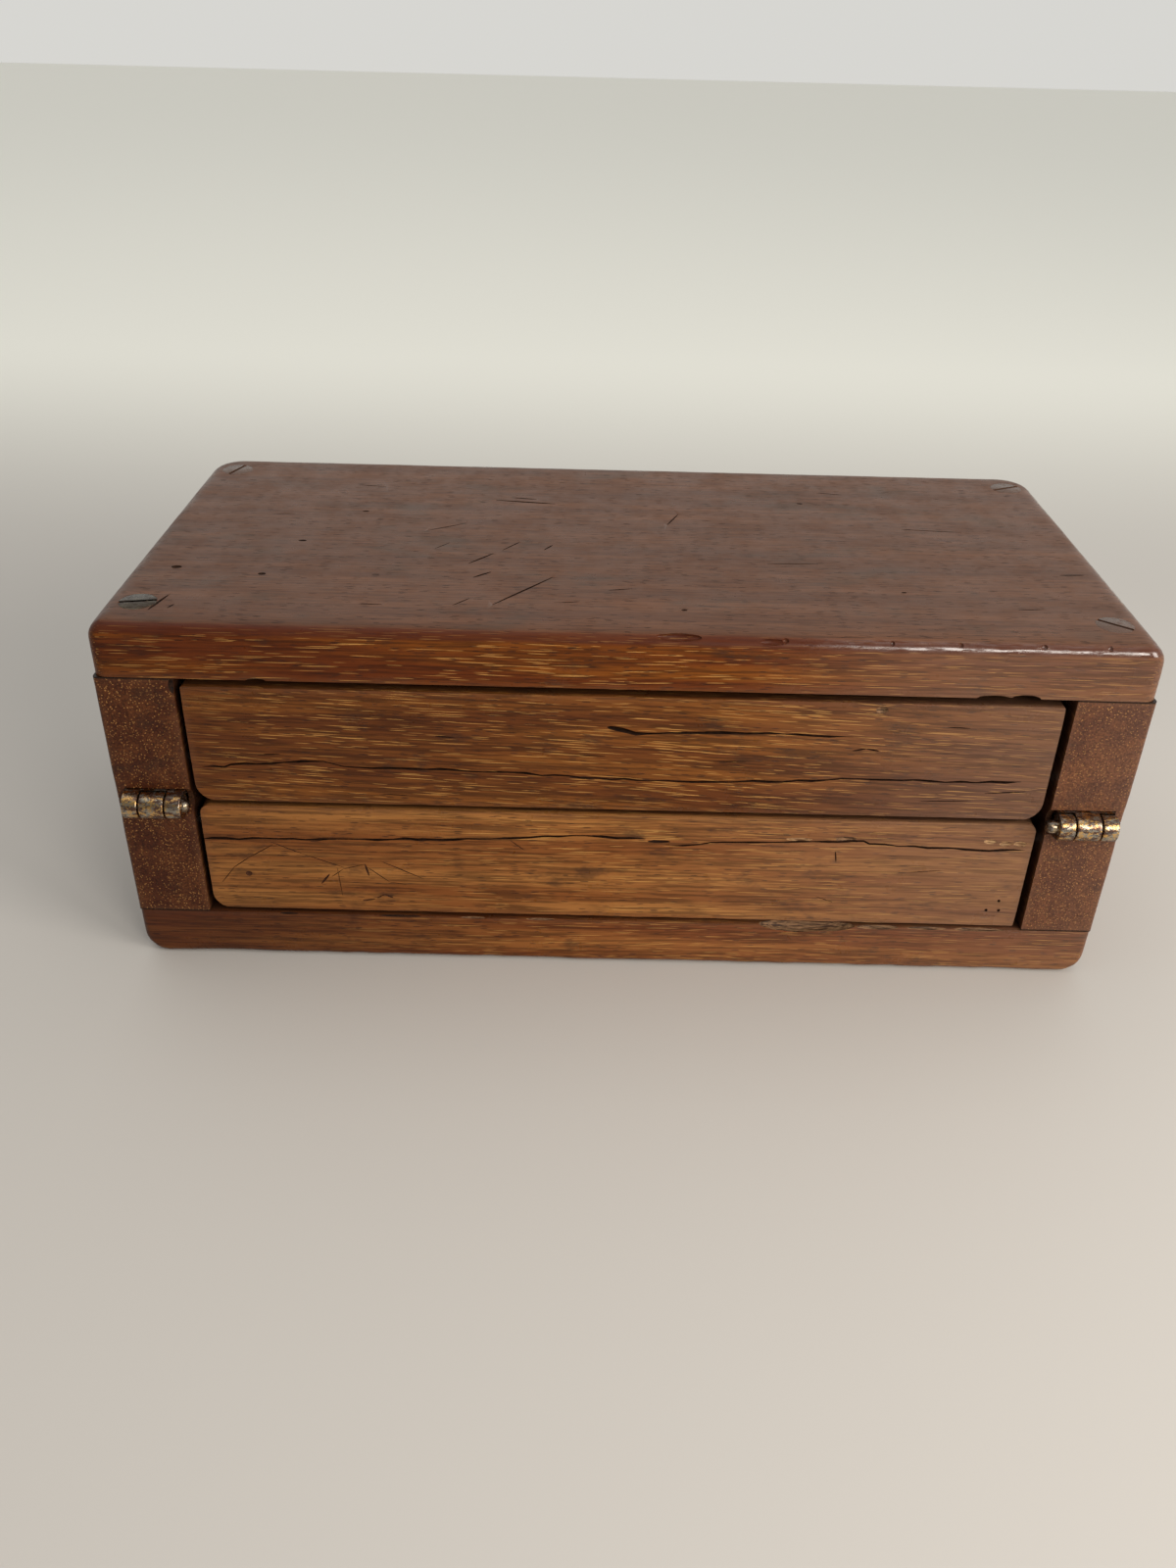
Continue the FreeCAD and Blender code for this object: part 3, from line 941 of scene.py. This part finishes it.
def top_board_marks():
    """Scratches and dents in the top face, and the broken places along the front edges."""
    scratches = (
        ((-54.6, 1.6), (-43.6, 8.4), 0.24, 0.45),
        ((-40.8, -21.2), (-34.4, -13.2), 0.34, 0.6),
        ((-32.6, -11.4), (-28, -4.6), 0.24, 0.45),
        ((-33, -47.2), (-18, -28), 0.34, 0.7),
        ((-42.2, -47.6), (-38.2, -42.8), 0.24, 0.45),
        ((-38.8, -30.2), (-34.2, -26), 0.4, 0.5),
        ((-21.5, -10.4), (-19.2, -6.4), 0.3, 0.4),
        ((-50.6, -11.5), (-46.7, -6.3), 0.16, 0.3),
        ((-37.6, 27.8), (-19, 25.6), 0.5, 0.5),
        ((-33, 30.2), (-25, 29.2), 0.35, 0.35),
        ((12, 10.2), (15.8, 19.8), 0.24, 0.45),
        ((-4.6, -36.2), (1.8, -34.6), 0.26, 0.4),
        ((-16.6, -44.4), (-11.2, -43.4), 0.24, 0.4),
        ((-65, -48), (-58.8, -47.8), 0.24, 0.4),
        ((77.5, 11.8), (95.3, 10.4), 0.24, 0.4),
        ((36.6, -16.3), (51.5, -15.2), 0.24, 0.4),
        ((113, -19.3), (120, -18.8), 0.34, 0.4),
        ((-113.8, -54.6), (-111.2, -45), 0.4, 0.6),
        ((-109.5, -53), (-108.4, -50.5), 0.3, 0.4),
        ((-78, 38), (-70, 37.2), 0.26, 0.35),
        ((58, 41), (66, 39.6), 0.24, 0.35),
        ((-99, 12), (-92, 12.6), 0.22, 0.35),
        ((96, -42), (103, -41.4), 0.24, 0.35),
    )
    cuts = []
    for start, end, half_width, depth in scratches:
        cuts.append(scratch(start, end, half_width, depth, "top", crack_filling))
    for x, y, long, wide in (
        (-114.3, -27.8, 1.4, 1.0),
        (-91.9, -30.9, 1.1, 0.8),
        (-86.3, -7.6, 1.2, 0.6),
        (-73, 15.8, 1.0, 0.5),
        (52, 31, 0.9, 0.5),
        (14, -47, 0.8, 0.5),
        (70, -33, 0.7, 0.45),
    ):
        cuts.append(gouge((x * MM, y * MM, TOP), (long, wide, 0.5), crack_filling, detail=2))
    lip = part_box("top_board")[0].z
    wood = WOOD["upper_board"]
    cuts.append(gouge((12 * MM, FRONT + 1.4 * MM, TOP - 0.9 * MM), (5.5, 1.3, 1.1), wood, roughness=0.5))
    cuts.append(gouge((34 * MM, FRONT + 0.9 * MM, TOP - 1.4 * MM), (3.2, 0.9, 0.9), wood, roughness=0.5))
    cuts.append(gouge((88 * MM, FRONT, lip), (4.2, 1.5, 0.9), chip_filling))
    cuts.append(gouge((95.5 * MM, FRONT, lip), (3.6, 1.7, 1.1), crack_filling))
    cuts.append(gouge((-88 * MM, FRONT, lip), (2.4, 1.0, 0.8), chip_filling, detail=2))
    for x, size in ((37, 0.9), (62, 0.6), (78, 0.7), (97.5, 0.9), (113, 0.7)):
        cuts.append(gouge((x * MM, FRONT + 1.2 * MM, TOP - 1.0 * MM), (size, 0.8, 0.8), wood, detail=2))
    return cuts


def bottom_board_marks():
    """The long lens-shaped chip along the upper front edge, and small nicks beside it."""
    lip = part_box("bottom_board")[1].z
    centre = (51 * MM, FRONT + 0.4 * MM, lip + 0.4 * MM)
    cuts = [gouge(centre, (13, 2.4, 2.5), chip_filling, roughness=0.35, detail=4)]
    for x, long, deep, filling in (
        (70, 6.0, 1.1, chip_filling),
        (83, 5.5, 0.8, chip_filling),
        (97, 7.0, 0.9, chip_filling),
        (-87, 2.6, 0.6, crack_filling),
        (-57.5, 6.0, 0.55, crack_filling),
        (-38, 3.5, 0.6, chip_filling),
        (-20, 4.0, 0.6, chip_filling),
    ):
        cuts.append(gouge((x * MM, FRONT, lip), (long, deep, deep * 0.75), filling, detail=2))
    return cuts


# ---------------------------------------------------------------- end blocks


def hinge_reach(side):
    """Low and high places along X of one hinge."""
    low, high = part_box(side + "_hinge_lower_plate")
    return low.x, high.x


def end_block(half, side):
    """End block: worn outer corner at mid-height, mortise and relief for its hinge."""
    node = f"{half}_{side}_end_block"
    low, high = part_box(node)
    sign = SIDES[side]
    outer_x, inner_x = (high.x, low.x) if sign > 0 else (low.x, high.x)
    mid_z = high.z if half == "lower" else low.z
    piece = block(node + "_wood", low, high)
    start_with(piece, WOOD[f"{half}_{side}_block"])
    round_edges(piece, edge_at(2, {0: outer_x, 1: high.y}), BACK_CORNER, 8)
    round_edges(piece, edge_at(2, {0: outer_x, 1: low.y}), 1.0 * MM, 3)
    round_edges(piece, edge_at(1, {0: outer_x, 2: mid_z}), CORNER_WEAR, 5)
    slice_all(piece, END_BLOCK_RINGS)
    weather(piece, *END_BLOCK_WEAR)
    corner = edge_group(
        piece,
        "corner",
        lambda p: 1 - (abs(p.x - outer_x) + abs(p.z - mid_z) + 0.35 * (p.y - low.y)) / EDGE_REACH,
    )
    weather(piece, *END_CORNER_WEAR, corner)
    x0, x1 = hinge_reach(side)
    plate_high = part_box(f"{side}_hinge_{half}_plate")[1]
    toward = 1 if half == "upper" else -1
    ends = sorted((inner_x - sign * 2 * MM, (x1 if sign > 0 else x0) + sign * 0.3 * MM))
    relief = bar("relief", KNUCKLE_RELIEF, (ends[0], AXIS_Y, MID), (ends[1], AXIS_Y, MID))
    z0, z1 = sorted((MID - toward * MM, MID + toward * KNUCKLE))
    mortise = block(
        "mortise", (x0 - 0.1 * MM, FRONT - MM, z0), (x1 + 0.1 * MM, plate_high.y + 0.1 * MM, z1)
    )
    carve(piece, [relief, mortise, rod_socket(half)])
    combine(piece, screw_holes(BOARDS[half] + "_screws"))
    marks = end_block_marks(half, side)
    if marks:
        combine(piece, marks)
    smooth(piece)
    return dress(piece, node, half + "_half", "end_block_wood")


def end_block_marks(half, side):
    """Nicks on the end blocks' front edges."""
    marks = []
    if (half, side) == ("upper", "left"):
        corner_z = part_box("upper_left_end_block")[1].z
        centre = (-INNER_X, FRONT, corner_z - 2 * MM)
        marks.append(gouge(centre, (1.1, 1.2, 2.2), crack_filling, detail=2))
    if (half, side) == ("lower", "right"):
        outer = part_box("lower_right_end_block")[1].x
        centre = (outer - 3.4 * MM, FRONT + 0.3 * MM, MID)
        marks.append(gouge(centre, (1.7, 1.6, 1.7), crack_filling, detail=2))
    return marks


def rod_socket(half):
    """Tool for the bore that holds or clears a pivot rod."""
    low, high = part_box(half + "_pivot_rod")
    centre = (low + high) / 2
    return bar("bore", ROD_BORE, (low.x, centre.y, centre.z), (high.x, centre.y, centre.z), 32)


# ---------------------------------------------------------------- swing blocks


def swing_block(half, cuts):
    """Thick block with worn corners, a finger notch, its rod bore and its cracks."""
    node = half + "_swing_block"
    low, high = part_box(node)
    piece = block(node + "_wood", low, high)
    start_with(piece, WOOD[half + "_swing"])
    places = ((low.x, low.z), (high.x, low.z), (high.x, high.z), (low.x, high.z))
    for (x, z), radius in zip(places, SWING_CORNERS[half]):
        round_edges(piece, edge_at(1, {0: x, 2: z}), radius, 6)
    outer_z = low.z if half == "lower" else high.z
    round_edges(piece, edge_at(0, {1: low.y, 2: outer_z}), OUTER_EDGE[half], 4)
    inner_z = high.z if half == "lower" else low.z
    round_edges(piece, edge_at(0, {1: low.y, 2: inner_z}), LONG_EDGE, 3)
    for z in (low.z, high.z):
        round_edges(piece, edge_at(0, {1: high.y, 2: z}), LONG_EDGE, 3)
    slice_all(piece, SWING_RINGS)
    weather(piece, *SWING_WEAR)
    front_edges = edge_group(
        piece,
        "front_edges",
        lambda p: 1 - (abs(p.y - low.y) + min(abs(p.z - low.z), abs(p.z - high.z))) / SWING_EDGE_REACH,
    )
    weather(piece, *SWING_EDGE_WEAR, front_edges)
    notch = bar("notch", FINGER_NOTCH, (0, high.y, low.z - MM), (0, high.y, high.z + MM), 64)
    combine(piece, [notch, rod_socket(half)])
    carve(piece, cuts)
    smooth(piece)
    return dress(piece, node, half + "_swing", "swing_wood")


def upper_swing_marks():
    """The long crack near the lower edge, the open void above it, and nicks."""
    long_crack = [
        (-104, 59.3), (-98.5, 59.4), (-96.9, 60.3), (-80, 61.3), (-73.7, 61.9), (-69, 60.4), (-45, 60.1),
        (-27, 59.7), (-6, 58.7), (14, 58.4), (40, 59.1), (58, 60.5), (84, 60.1), (99, 60.7),
    ]
    void = [
        (-4, 73.3, 0.2), (-3.2, 73.2, 0.9), (0, 72.6, 1.1), (3, 71.7, 0.9), (6, 71.8, 0.45),
        (12, 72.2, 0.4), (16, 72.3, 0.6), (24, 72.6, 0.75), (30, 72.5, 0.6), (36, 72.8, 0.5),
        (39, 72.5, 0.2), (42, 72.6, 0.55), (46, 72.3, 0.5), (50, 72.2, 0.6), (54, 72.3, 0.2),
        (62, 72.2, 0.1),
    ]
    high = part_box("upper_swing_block")[1].z
    marks = [
        crack(wander(long_crack, 1, 11), 0.3 * MM, 1.6 * MM, crack_filling),
        crack(void, 0.62 * MM, 1.8 * MM, crack_filling),
        gouge((61.8 * MM, FRONT, high - 2 * MM), (1.6, 0.8, 1.0), chip_filling, detail=2),
    ]
    for start, end, half_width, depth in (
        ((56, 68.3), (59.6, 69.1), 0.24, 0.6),
        ((59.2, 69.1), (62.8, 68.4), 0.24, 0.6),
        ((-90, 63.2), (-84, 63.6), 0.16, 0.4),
        ((-60, 52.6), (-53, 52.3), 0.16, 0.4),
        ((-12, 65.5), (-4, 65.2), 0.16, 0.4),
        ((22, 64.4), (31, 64.6), 0.16, 0.4),
        ((-46, 69.6), (-41, 69.4), 0.2, 0.5),
        ((78, 75.6), (84, 75.4), 0.18, 0.4),
        ((90, 57.0), (101, 57.9), 0.18, 0.5),
        ((74, 54.2), (88, 54.8), 0.16, 0.4),
    ):
        marks.append(scratch(start, end, half_width, depth, "front", crack_filling))
    return marks


def lower_swing_marks():
    """The long crack with its torn knot, thin scratches, a dark spot, pinholes and light chips."""
    left = [
        (-107.5, 37.7), (-84, 38.3), (-70, 38.5), (-58, 39.0), (-42, 39.2), (-26, 40.4), (-12, 41.3), (7, 41),
    ]
    right = [
        (13, 38.9), (27, 40.4), (42, 41.1), (57, 41.6), (62.5, 41.9), (64, 41), (79, 40.3), (95, 39.9),
        (104, 40.2),
    ]
    marks = [
        crack(wander(left, 1, 5), 0.34 * MM, 1.7 * MM, crack_filling),
        crack(wander(right, 1, 8), 0.3 * MM, 1.5 * MM, crack_filling),
        gouge((10.2 * MM, FRONT, 40.2 * MM), (3.0, 0.7, 0.45), crack_filling, roughness=0.8),
        gouge((-96.2 * MM, FRONT, 27 * MM), (0.95, 0.35, 0.85), scratch_filling, detail=2),
        gouge((94.6 * MM, FRONT, 42.6 * MM), (1.6, 0.4, 0.8), pale_chip, roughness=0.6),
        gouge((98.6 * MM, FRONT, 42 * MM), (1.5, 0.45, 0.8), pale_chip, roughness=0.6),
        gouge((102.4 * MM, FRONT, 42 * MM), (1.6, 0.45, 0.9), pale_chip, roughness=0.6),
        gouge((58 * MM, FRONT, 42.2 * MM), (2.8, 0.6, 0.8), chip_filling, roughness=0.6),
        gouge((46 * MM, FRONT, 41.9 * MM), (3.4, 0.45, 0.5), pale_chip, roughness=0.6),
    ]
    for start, end, half_width in (
        ((-103.9, 23.5), (-99.6, 29.2), 0.13),
        ((-100.4, 28.5), (-95.0, 32.6), 0.14),
        ((-95.8, 32), (-88.6, 36.6), 0.15),
        ((-90, 37.4), (-81, 33.4), 0.16),
        ((-82.5, 34), (-70.8, 29.5), 0.13),
        ((-62, 32.2), (-50.2, 26.4), 0.16),
        ((-77.6, 24.1), (-75, 27.6), 0.32),
        ((-74.8, 26.4), (-71.2, 29.3), 0.12),
        ((-71.8, 29), (-65.2, 31), 0.12),
        ((-65.7, 31), (-64.8, 27), 0.3),
        ((-65.2, 30), (-59.4, 25.2), 0.14),
        ((-60, 25.4), (-55, 24.6), 0.12),
        ((-63.2, 20), (-61, 21.3), 0.2),
        ((-61.4, 21.3), (-58.8, 20.2), 0.3),
        ((-67.3, 19), (-63.6, 19.6), 0.3),
        ((-28.2, 39.7), (-24, 36.3), 0.16),
        ((-73, 30), (-72.2, 20), 0.1),
        ((55.6, 38.6), (56.2, 35), 0.22),
        ((75, 32.4), (84, 33.2), 0.14),
        ((52, 24), (57, 22.2), 0.12),
    ):
        marks.append(scratch(start, end, half_width, 0.35, "front", scratch_filling))
    for x, z in ((97.6, 20.8), (100.9, 20.8), (100.4, 23.9)):
        mouth, end = (x * MM, FRONT - MM, z * MM), (x * MM, FRONT + 2 * MM, z * MM)
        pinhole = bar("pinhole", 0.42 * MM, mouth, end, 12)
        start_with(pinhole, crack_filling)
        marks.append(pinhole)
    return marks


# ---------------------------------------------------------------- hinges


def knuckle_spans(side):
    """Places along X of a hinge's three knuckles, from left to right."""
    x0, x1 = hinge_reach(side)
    first = (x0, x0 + KNUCKLE_LENGTH)
    middle = (x0 + KNUCKLE_LENGTH + KNUCKLE_GAP, x1 - KNUCKLE_LENGTH - KNUCKLE_GAP)
    last = (x1 - KNUCKLE_LENGTH, x1)
    return first, middle, last


def knuckle(span, toward):
    """Rolled barrel with softened rims and the seam where the plate curls round to meet itself."""
    barrel = bar("knuckle", KNUCKLE, (span[0], AXIS_Y, MID), (span[1], AXIS_Y, MID), 56)

    def rims(a, b):
        return near(a.x, b.x) and (near(a.x, span[0]) or near(a.x, span[1]))

    round_edges(barrel, rims, KNUCKLE_RIM, 3)
    seam_y, seam_z = AXIS_Y + 0.72 * KNUCKLE, MID - toward * 0.66 * KNUCKLE
    seam = block(
        "seam",
        (span[0] - MM, seam_y - 0.9 * MM, seam_z - 0.12 * MM),
        (span[1] + MM, seam_y + 1.2 * MM, seam_z + 0.12 * MM),
    )
    return combine(barrel, [seam])


def hinge_screw_places(half, side):
    """Centres along X and Y of the two screws of a plate."""
    low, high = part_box(f"{side}_hinge_{half}_screws")
    y = (low.y + high.y) / 2
    return [(low.x + HINGE_SCREW_HEAD, y), (high.x - HINGE_SCREW_HEAD, y)]


def countersunk(x, y, head_z, direction, head, shank, length, sides=40):
    """Countersunk screw body: direction is +1 if the screw points up."""
    crown = 0.04 * head
    rings = [
        (head - 2 * crown, head_z),
        (head, head_z + direction * crown),
        (shank, head_z + direction * (head - shank)),
        (shank, head_z + direction * (length - 2 * shank)),
        (0.12 * shank, head_z + direction * length),
    ]
    return turned("screw", x, y, rings, sides)


def slot_tool(x, y, head_z, direction, head, width, depth, angle):
    """Tool for the slot across a screw head."""
    deselect()
    bpy.ops.mesh.primitive_cube_add(
        size=1,
        location=(x, y, head_z),
        scale=(2.4 * head, width, 2 * depth),
        rotation=(0, 0, math.radians(angle)),
    )
    return settle("slot")


def hinge_plate(half, side):
    """Plate and knuckles of one half of a butt hinge."""
    node = f"{side}_hinge_{half}_plate"
    low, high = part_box(node)
    toward = 1 if half == "upper" else -1
    x0, x1 = hinge_reach(side)
    spans = knuckle_spans(side)
    outer = OUTER_KNUCKLES[side] == half
    own = (spans[0], spans[2]) if outer else (spans[1],)
    other = (spans[1],) if outer else (spans[0], spans[2])
    z0, z1 = sorted((MID + toward * (KNUCKLE - PLATE), MID + toward * KNUCKLE))
    plate = block(node + "_brass", (x0, AXIS_Y, z0), (x1, high.y, z1))
    round_edges(plate, edge_at(2, {0: x0, 1: high.y}), 0.6 * MM, 3)
    round_edges(plate, edge_at(2, {0: x1, 1: high.y}), 0.6 * MM, 3)
    clear = KNUCKLE + KNUCKLE_CLEARANCE
    room = [
        bar("room", clear, (a - KNUCKLE_GAP, AXIS_Y, MID), (b + KNUCKLE_GAP, AXIS_Y, MID)) for a, b in other
    ]
    combine(plate, room)
    combine(plate, [knuckle(span, toward) for span in own], "UNION")
    bore_radius = PIN + (0 if outer else PIN_CLEARANCE)
    bore = bar("bore", bore_radius, (x0 - MM, AXIS_Y, MID), (x1 + MM, AXIS_Y, MID), 40)
    face_z = MID + toward * (KNUCKLE - PLATE)
    rings = [
        (HINGE_SCREW_HEAD + 0.5 * MM, face_z - toward * 0.5 * MM),
        (HINGE_SCREW_SHANK, face_z + toward * (HINGE_SCREW_HEAD - HINGE_SCREW_SHANK)),
        (HINGE_SCREW_SHANK, face_z + toward * (PLATE + MM)),
    ]
    sinks = [turned("sink", x, y, rings) for x, y in hinge_screw_places(half, side)]
    combine(plate, [bore] + sinks)
    close_gaps(plate)
    plate.data.materials.clear()
    smooth(plate, 30)
    return dress(plate, node, half + "_half", "hinge_brass", BRASS["hinge"])


def hinge_screws(half, side):
    """The two screws of a hinge plate."""
    node = f"{side}_hinge_{half}_screws"
    low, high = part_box(node)
    direction = 1 if half == "upper" else -1
    head_z = low.z if half == "upper" else high.z
    length = high.z - low.z
    screws = []
    for (x, y), angle in zip(hinge_screw_places(half, side), (20, 65)):
        screw = countersunk(x, y, head_z, direction, HINGE_SCREW_HEAD, HINGE_SCREW_SHANK, length)
        slot = slot_tool(x, y, head_z, direction, HINGE_SCREW_HEAD, 0.6 * MM, 0.5 * MM, angle)
        screws.append(combine(screw, [slot]))
    piece = join(node + "_brass", screws)
    piece.data.materials.clear()
    smooth(piece, 30)
    return dress(piece, node, half + "_half", "hinge_brass", BRASS["hinge"])


def hinge_pin(side):
    """Pin with a rounded end that stands out on the inner side."""
    node = side + "_hinge_pin"
    low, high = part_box(node)
    inner_x, outer_x = (low.x, high.x) if SIDES[side] > 0 else (high.x, low.x)
    piece = bar(node + "_brass", PIN, (low.x, AXIS_Y, MID), (high.x, AXIS_Y, MID), 40)
    round_edges(piece, lambda a, b: near(a.x, inner_x) and near(b.x, inner_x), 1.45 * MM, 7)
    round_edges(piece, lambda a, b: near(a.x, outer_x) and near(b.x, outer_x), 0.25 * MM, 2)
    piece.data.materials.clear()
    smooth(piece, 50)
    return dress(piece, node, OUTER_KNUCKLES[side] + "_half", "hinge_brass", BRASS["pin"])


# ---------------------------------------------------------------- screws of the boards


def board_screws(half):
    """The four slotted screws of a board, their slots worn and each turned its own way."""
    node = BOARDS[half] + "_screws"
    low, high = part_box(node)
    direction = -1 if half == "upper" else 1
    head_z = high.z if half == "upper" else low.z
    length = high.z - low.z
    pattern = countersunk(0, 0, head_z, direction, SCREW_HEAD, SCREW_SHANK, length, 56)
    slot = slot_tool(0, 0, head_z, direction, SCREW_HEAD, 1.0 * MM, 0.9 * MM, 0)
    combine(pattern, [slot])
    angles = (12, -38, 70, 25)
    screws = [twin(pattern, x, y, angle) for (x, y), angle in zip(screw_places(low, high), angles)]
    bpy.data.objects.remove(pattern)
    piece = join(node + "_metal", screws)
    piece.data.materials.clear()
    smooth(piece, 30)
    return dress(piece, node, half + "_half", "board_screw_brass", BRASS["screw"])


# ---------------------------------------------------------------- making it


def end_block_wood(half, side):
    """End grain, made lighter on the right by painted light, with a painted sheen there."""
    node = f"{half}_{side}_end_block"
    # painted light: the right end blocks are lighter and carry a painted sheen
    light_lift, sheen_span = (0.98, None) if side == "left" else (1.25, (60, 170))
    deep = rgb(0.072 * light_lift, 0.018 * light_lift, 0.0060 * light_lift)
    warm = rgb(0.130 * light_lift, 0.040 * light_lift, 0.012 * light_lift)
    return mahogany(node + "_mahogany", node, 1, deep, warm, DULL_DASH, 1.0, sheen_span=sheen_span)


def polish_rod(half):
    """Give a pivot rod of the frame its steel."""
    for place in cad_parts[half + "_pivot_rod"].material_slots:
        place.material = rod_steel


GOLD_DASH = rgb(0.56, 0.28, 0.075)
DULL_DASH = rgb(0.44, 0.21, 0.065)
TOP_FACE_HEIGHTS = ((TOP / MM) - 1.0, (TOP / MM) - 0.35)

WOOD = {
    "upper_board": mahogany(
        "top_board_mahogany", "top_board", 0, rgb(0.122, 0.026, 0.0035), rgb(0.220, 0.064, 0.0065),
        GOLD_DASH, 0.85, sheen_span=(20, 85), top_heights=TOP_FACE_HEIGHTS,
    ),
    "lower_board": mahogany(
        "bottom_board_mahogany", "bottom_board", 0, rgb(0.172, 0.045, 0.010), rgb(0.310, 0.112, 0.026),
        GOLD_DASH, 0.8, fade=(-95, -40), sheen_span=(-40, 190), shade=0.6,
    ),
    "upper_swing": mahogany(
        "upper_swing_mahogany", "upper_swing_block", 0, rgb(0.118, 0.033, 0.007), rgb(0.218, 0.073, 0.013),
        GOLD_DASH, 1.0, fade=(-115, -85), sheen_span=(15, 110), tilt=0.035,
    ),
    "lower_swing": mahogany(
        "lower_swing_mahogany", "lower_swing_block", 0, rgb(0.228, 0.074, 0.017), rgb(0.385, 0.160, 0.042),
        GOLD_DASH, 0.75, fade=(-85, -25), sheen_span=(-10, 110),
    ),
}
for half in HALVES:
    for side in SIDES:
        WOOD[f"{half}_{side}_block"] = end_block_wood(half, side)
BRASS = {
    "hinge": old_brass(
        "aged_hinge_brass", rgb(0.62, 0.37, 0.13), rgb(0.36, 0.33, 0.27), rgb(0.13, 0.065, 0.048), 0.9
    ),
    "pin": old_brass(
        "aged_pin_brass", rgb(0.40, 0.30, 0.18), rgb(0.30, 0.27, 0.23), rgb(0.11, 0.07, 0.05), 0.8
    ),
    "screw": old_brass(
        "aged_screw_brass", rgb(0.10, 0.078, 0.052), rgb(0.085, 0.072, 0.055), rgb(0.05, 0.034, 0.024), 0.6,
        polished_over=True,
    ),
}
rod_steel = dull_steel()

board("upper", top_board_marks())
board("lower", bottom_board_marks())
swing_block("upper", upper_swing_marks())
swing_block("lower", lower_swing_marks())
for half in HALVES:
    board_screws(half)
    polish_rod(half)
    for side in SIDES:
        end_block(half, side)
        hinge_plate(half, side)
        hinge_screws(half, side)
for side in SIDES:
    hinge_pin(side)


# ---------------------------------------------------------------- floor, light and camera


# strength of the room's light in front of the case and behind it
ROOM_FRONT = 0.245
ROOM_BACK = 0.68
FLOOR_SIZE = 8
FLOOR_GAP = 0.02 * MM

# Camera: place of the eye, angles in degrees, focal length in millimetres
EYE = (-0.0089, -0.3325, 0.2253)
LOOK_DOWN = 31.88
LOOK_RIGHT = 0.13
ROLL = 1.45
FOCAL_LENGTH = 29.385


def lay_floor():
    """Plain pale floor, wide enough to reach past every view."""
    deselect()
    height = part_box("bottom_board")[0].z - FLOOR_GAP
    bpy.ops.mesh.primitive_plane_add(size=FLOOR_SIZE, location=(0, 0, height))
    floor = settle("pale_floor")
    floor.data.materials.append(counter())


def soft_light(name, place, target, size, power, colour):
    """Square soft light aimed at a point."""
    lamp = bpy.data.lights.new(name, "AREA")
    lamp.shape = "SQUARE"
    lamp.size = size
    lamp.energy = power
    lamp.color = colour
    holder = bpy.data.objects.new(name, lamp)
    holder.location = place
    holder.rotation_euler = (Vector(target) - Vector(place)).to_track_quat("-Z", "Y").to_euler()
    bpy.context.scene.collection.objects.link(holder)


def light_room():
    """Pale room, brighter behind the case than in front of it, with two soft lamps on the right."""
    world = bpy.data.worlds.new("room")
    world.use_nodes = True
    tree = world.node_tree
    way = tree.nodes.new("ShaderNodeTexCoord").outputs["Generated"]
    split = tree.nodes.new("ShaderNodeSeparateXYZ")
    tree.links.new(way, split.inputs[0])
    fade = tree.nodes.new("ShaderNodeMapRange")
    fade.interpolation_type = "SMOOTHSTEP"
    for key, value in ((1, -0.7), (2, 0.5), (3, ROOM_FRONT), (4, ROOM_BACK)):
        fade.inputs[key].default_value = value
    tree.links.new(split.outputs[1], fade.inputs[0])
    background = tree.nodes["Background"]
    background.inputs["Color"].default_value = rgb(1.0, 0.99, 0.945)
    tree.links.new(fade.outputs[0], background.inputs["Strength"])
    bpy.context.scene.world = world
    soft_light("ceiling", (-0.1, 0.0, 1.6), (0, 0, 0.05), 1.6, 6, (1.0, 0.99, 0.97))
    soft_light("window", (0.29, -0.62, 0.40), (0.05, -0.05, 0.05), 0.21, 1.8, (1.0, 0.94, 0.86))
    soft_light("side", (0.7, -0.45, 0.40), (0.1, -0.05, 0.05), 0.4, 5.0, (1.0, 0.95, 0.88))


def set_camera():
    """Camera a little left of the middle, looking down at the front."""
    down, turn, roll = math.radians(LOOK_DOWN), math.radians(LOOK_RIGHT), math.radians(ROLL)
    ahead = Vector((math.sin(turn) * math.cos(down), math.cos(turn) * math.cos(down), -math.sin(down)))
    level = Vector((math.cos(turn), -math.sin(turn), 0))
    above = level.cross(ahead)
    right = math.cos(roll) * level + math.sin(roll) * above
    up = math.cos(roll) * above - math.sin(roll) * level
    lens = bpy.data.cameras.new("camera")
    lens.sensor_fit = "AUTO"
    lens.sensor_width = 36
    lens.lens = FOCAL_LENGTH
    lens.clip_start = 0.01
    camera = bpy.data.objects.new("camera", lens)
    camera.matrix_world = Matrix.Translation(EYE) @ Matrix((right, up, -ahead)).transposed().to_4x4()
    bpy.context.scene.collection.objects.link(camera)
    bpy.context.scene.camera = camera


lay_floor()
light_room()
set_camera()
bpy.context.scene.view_settings.view_transform = "Standard"
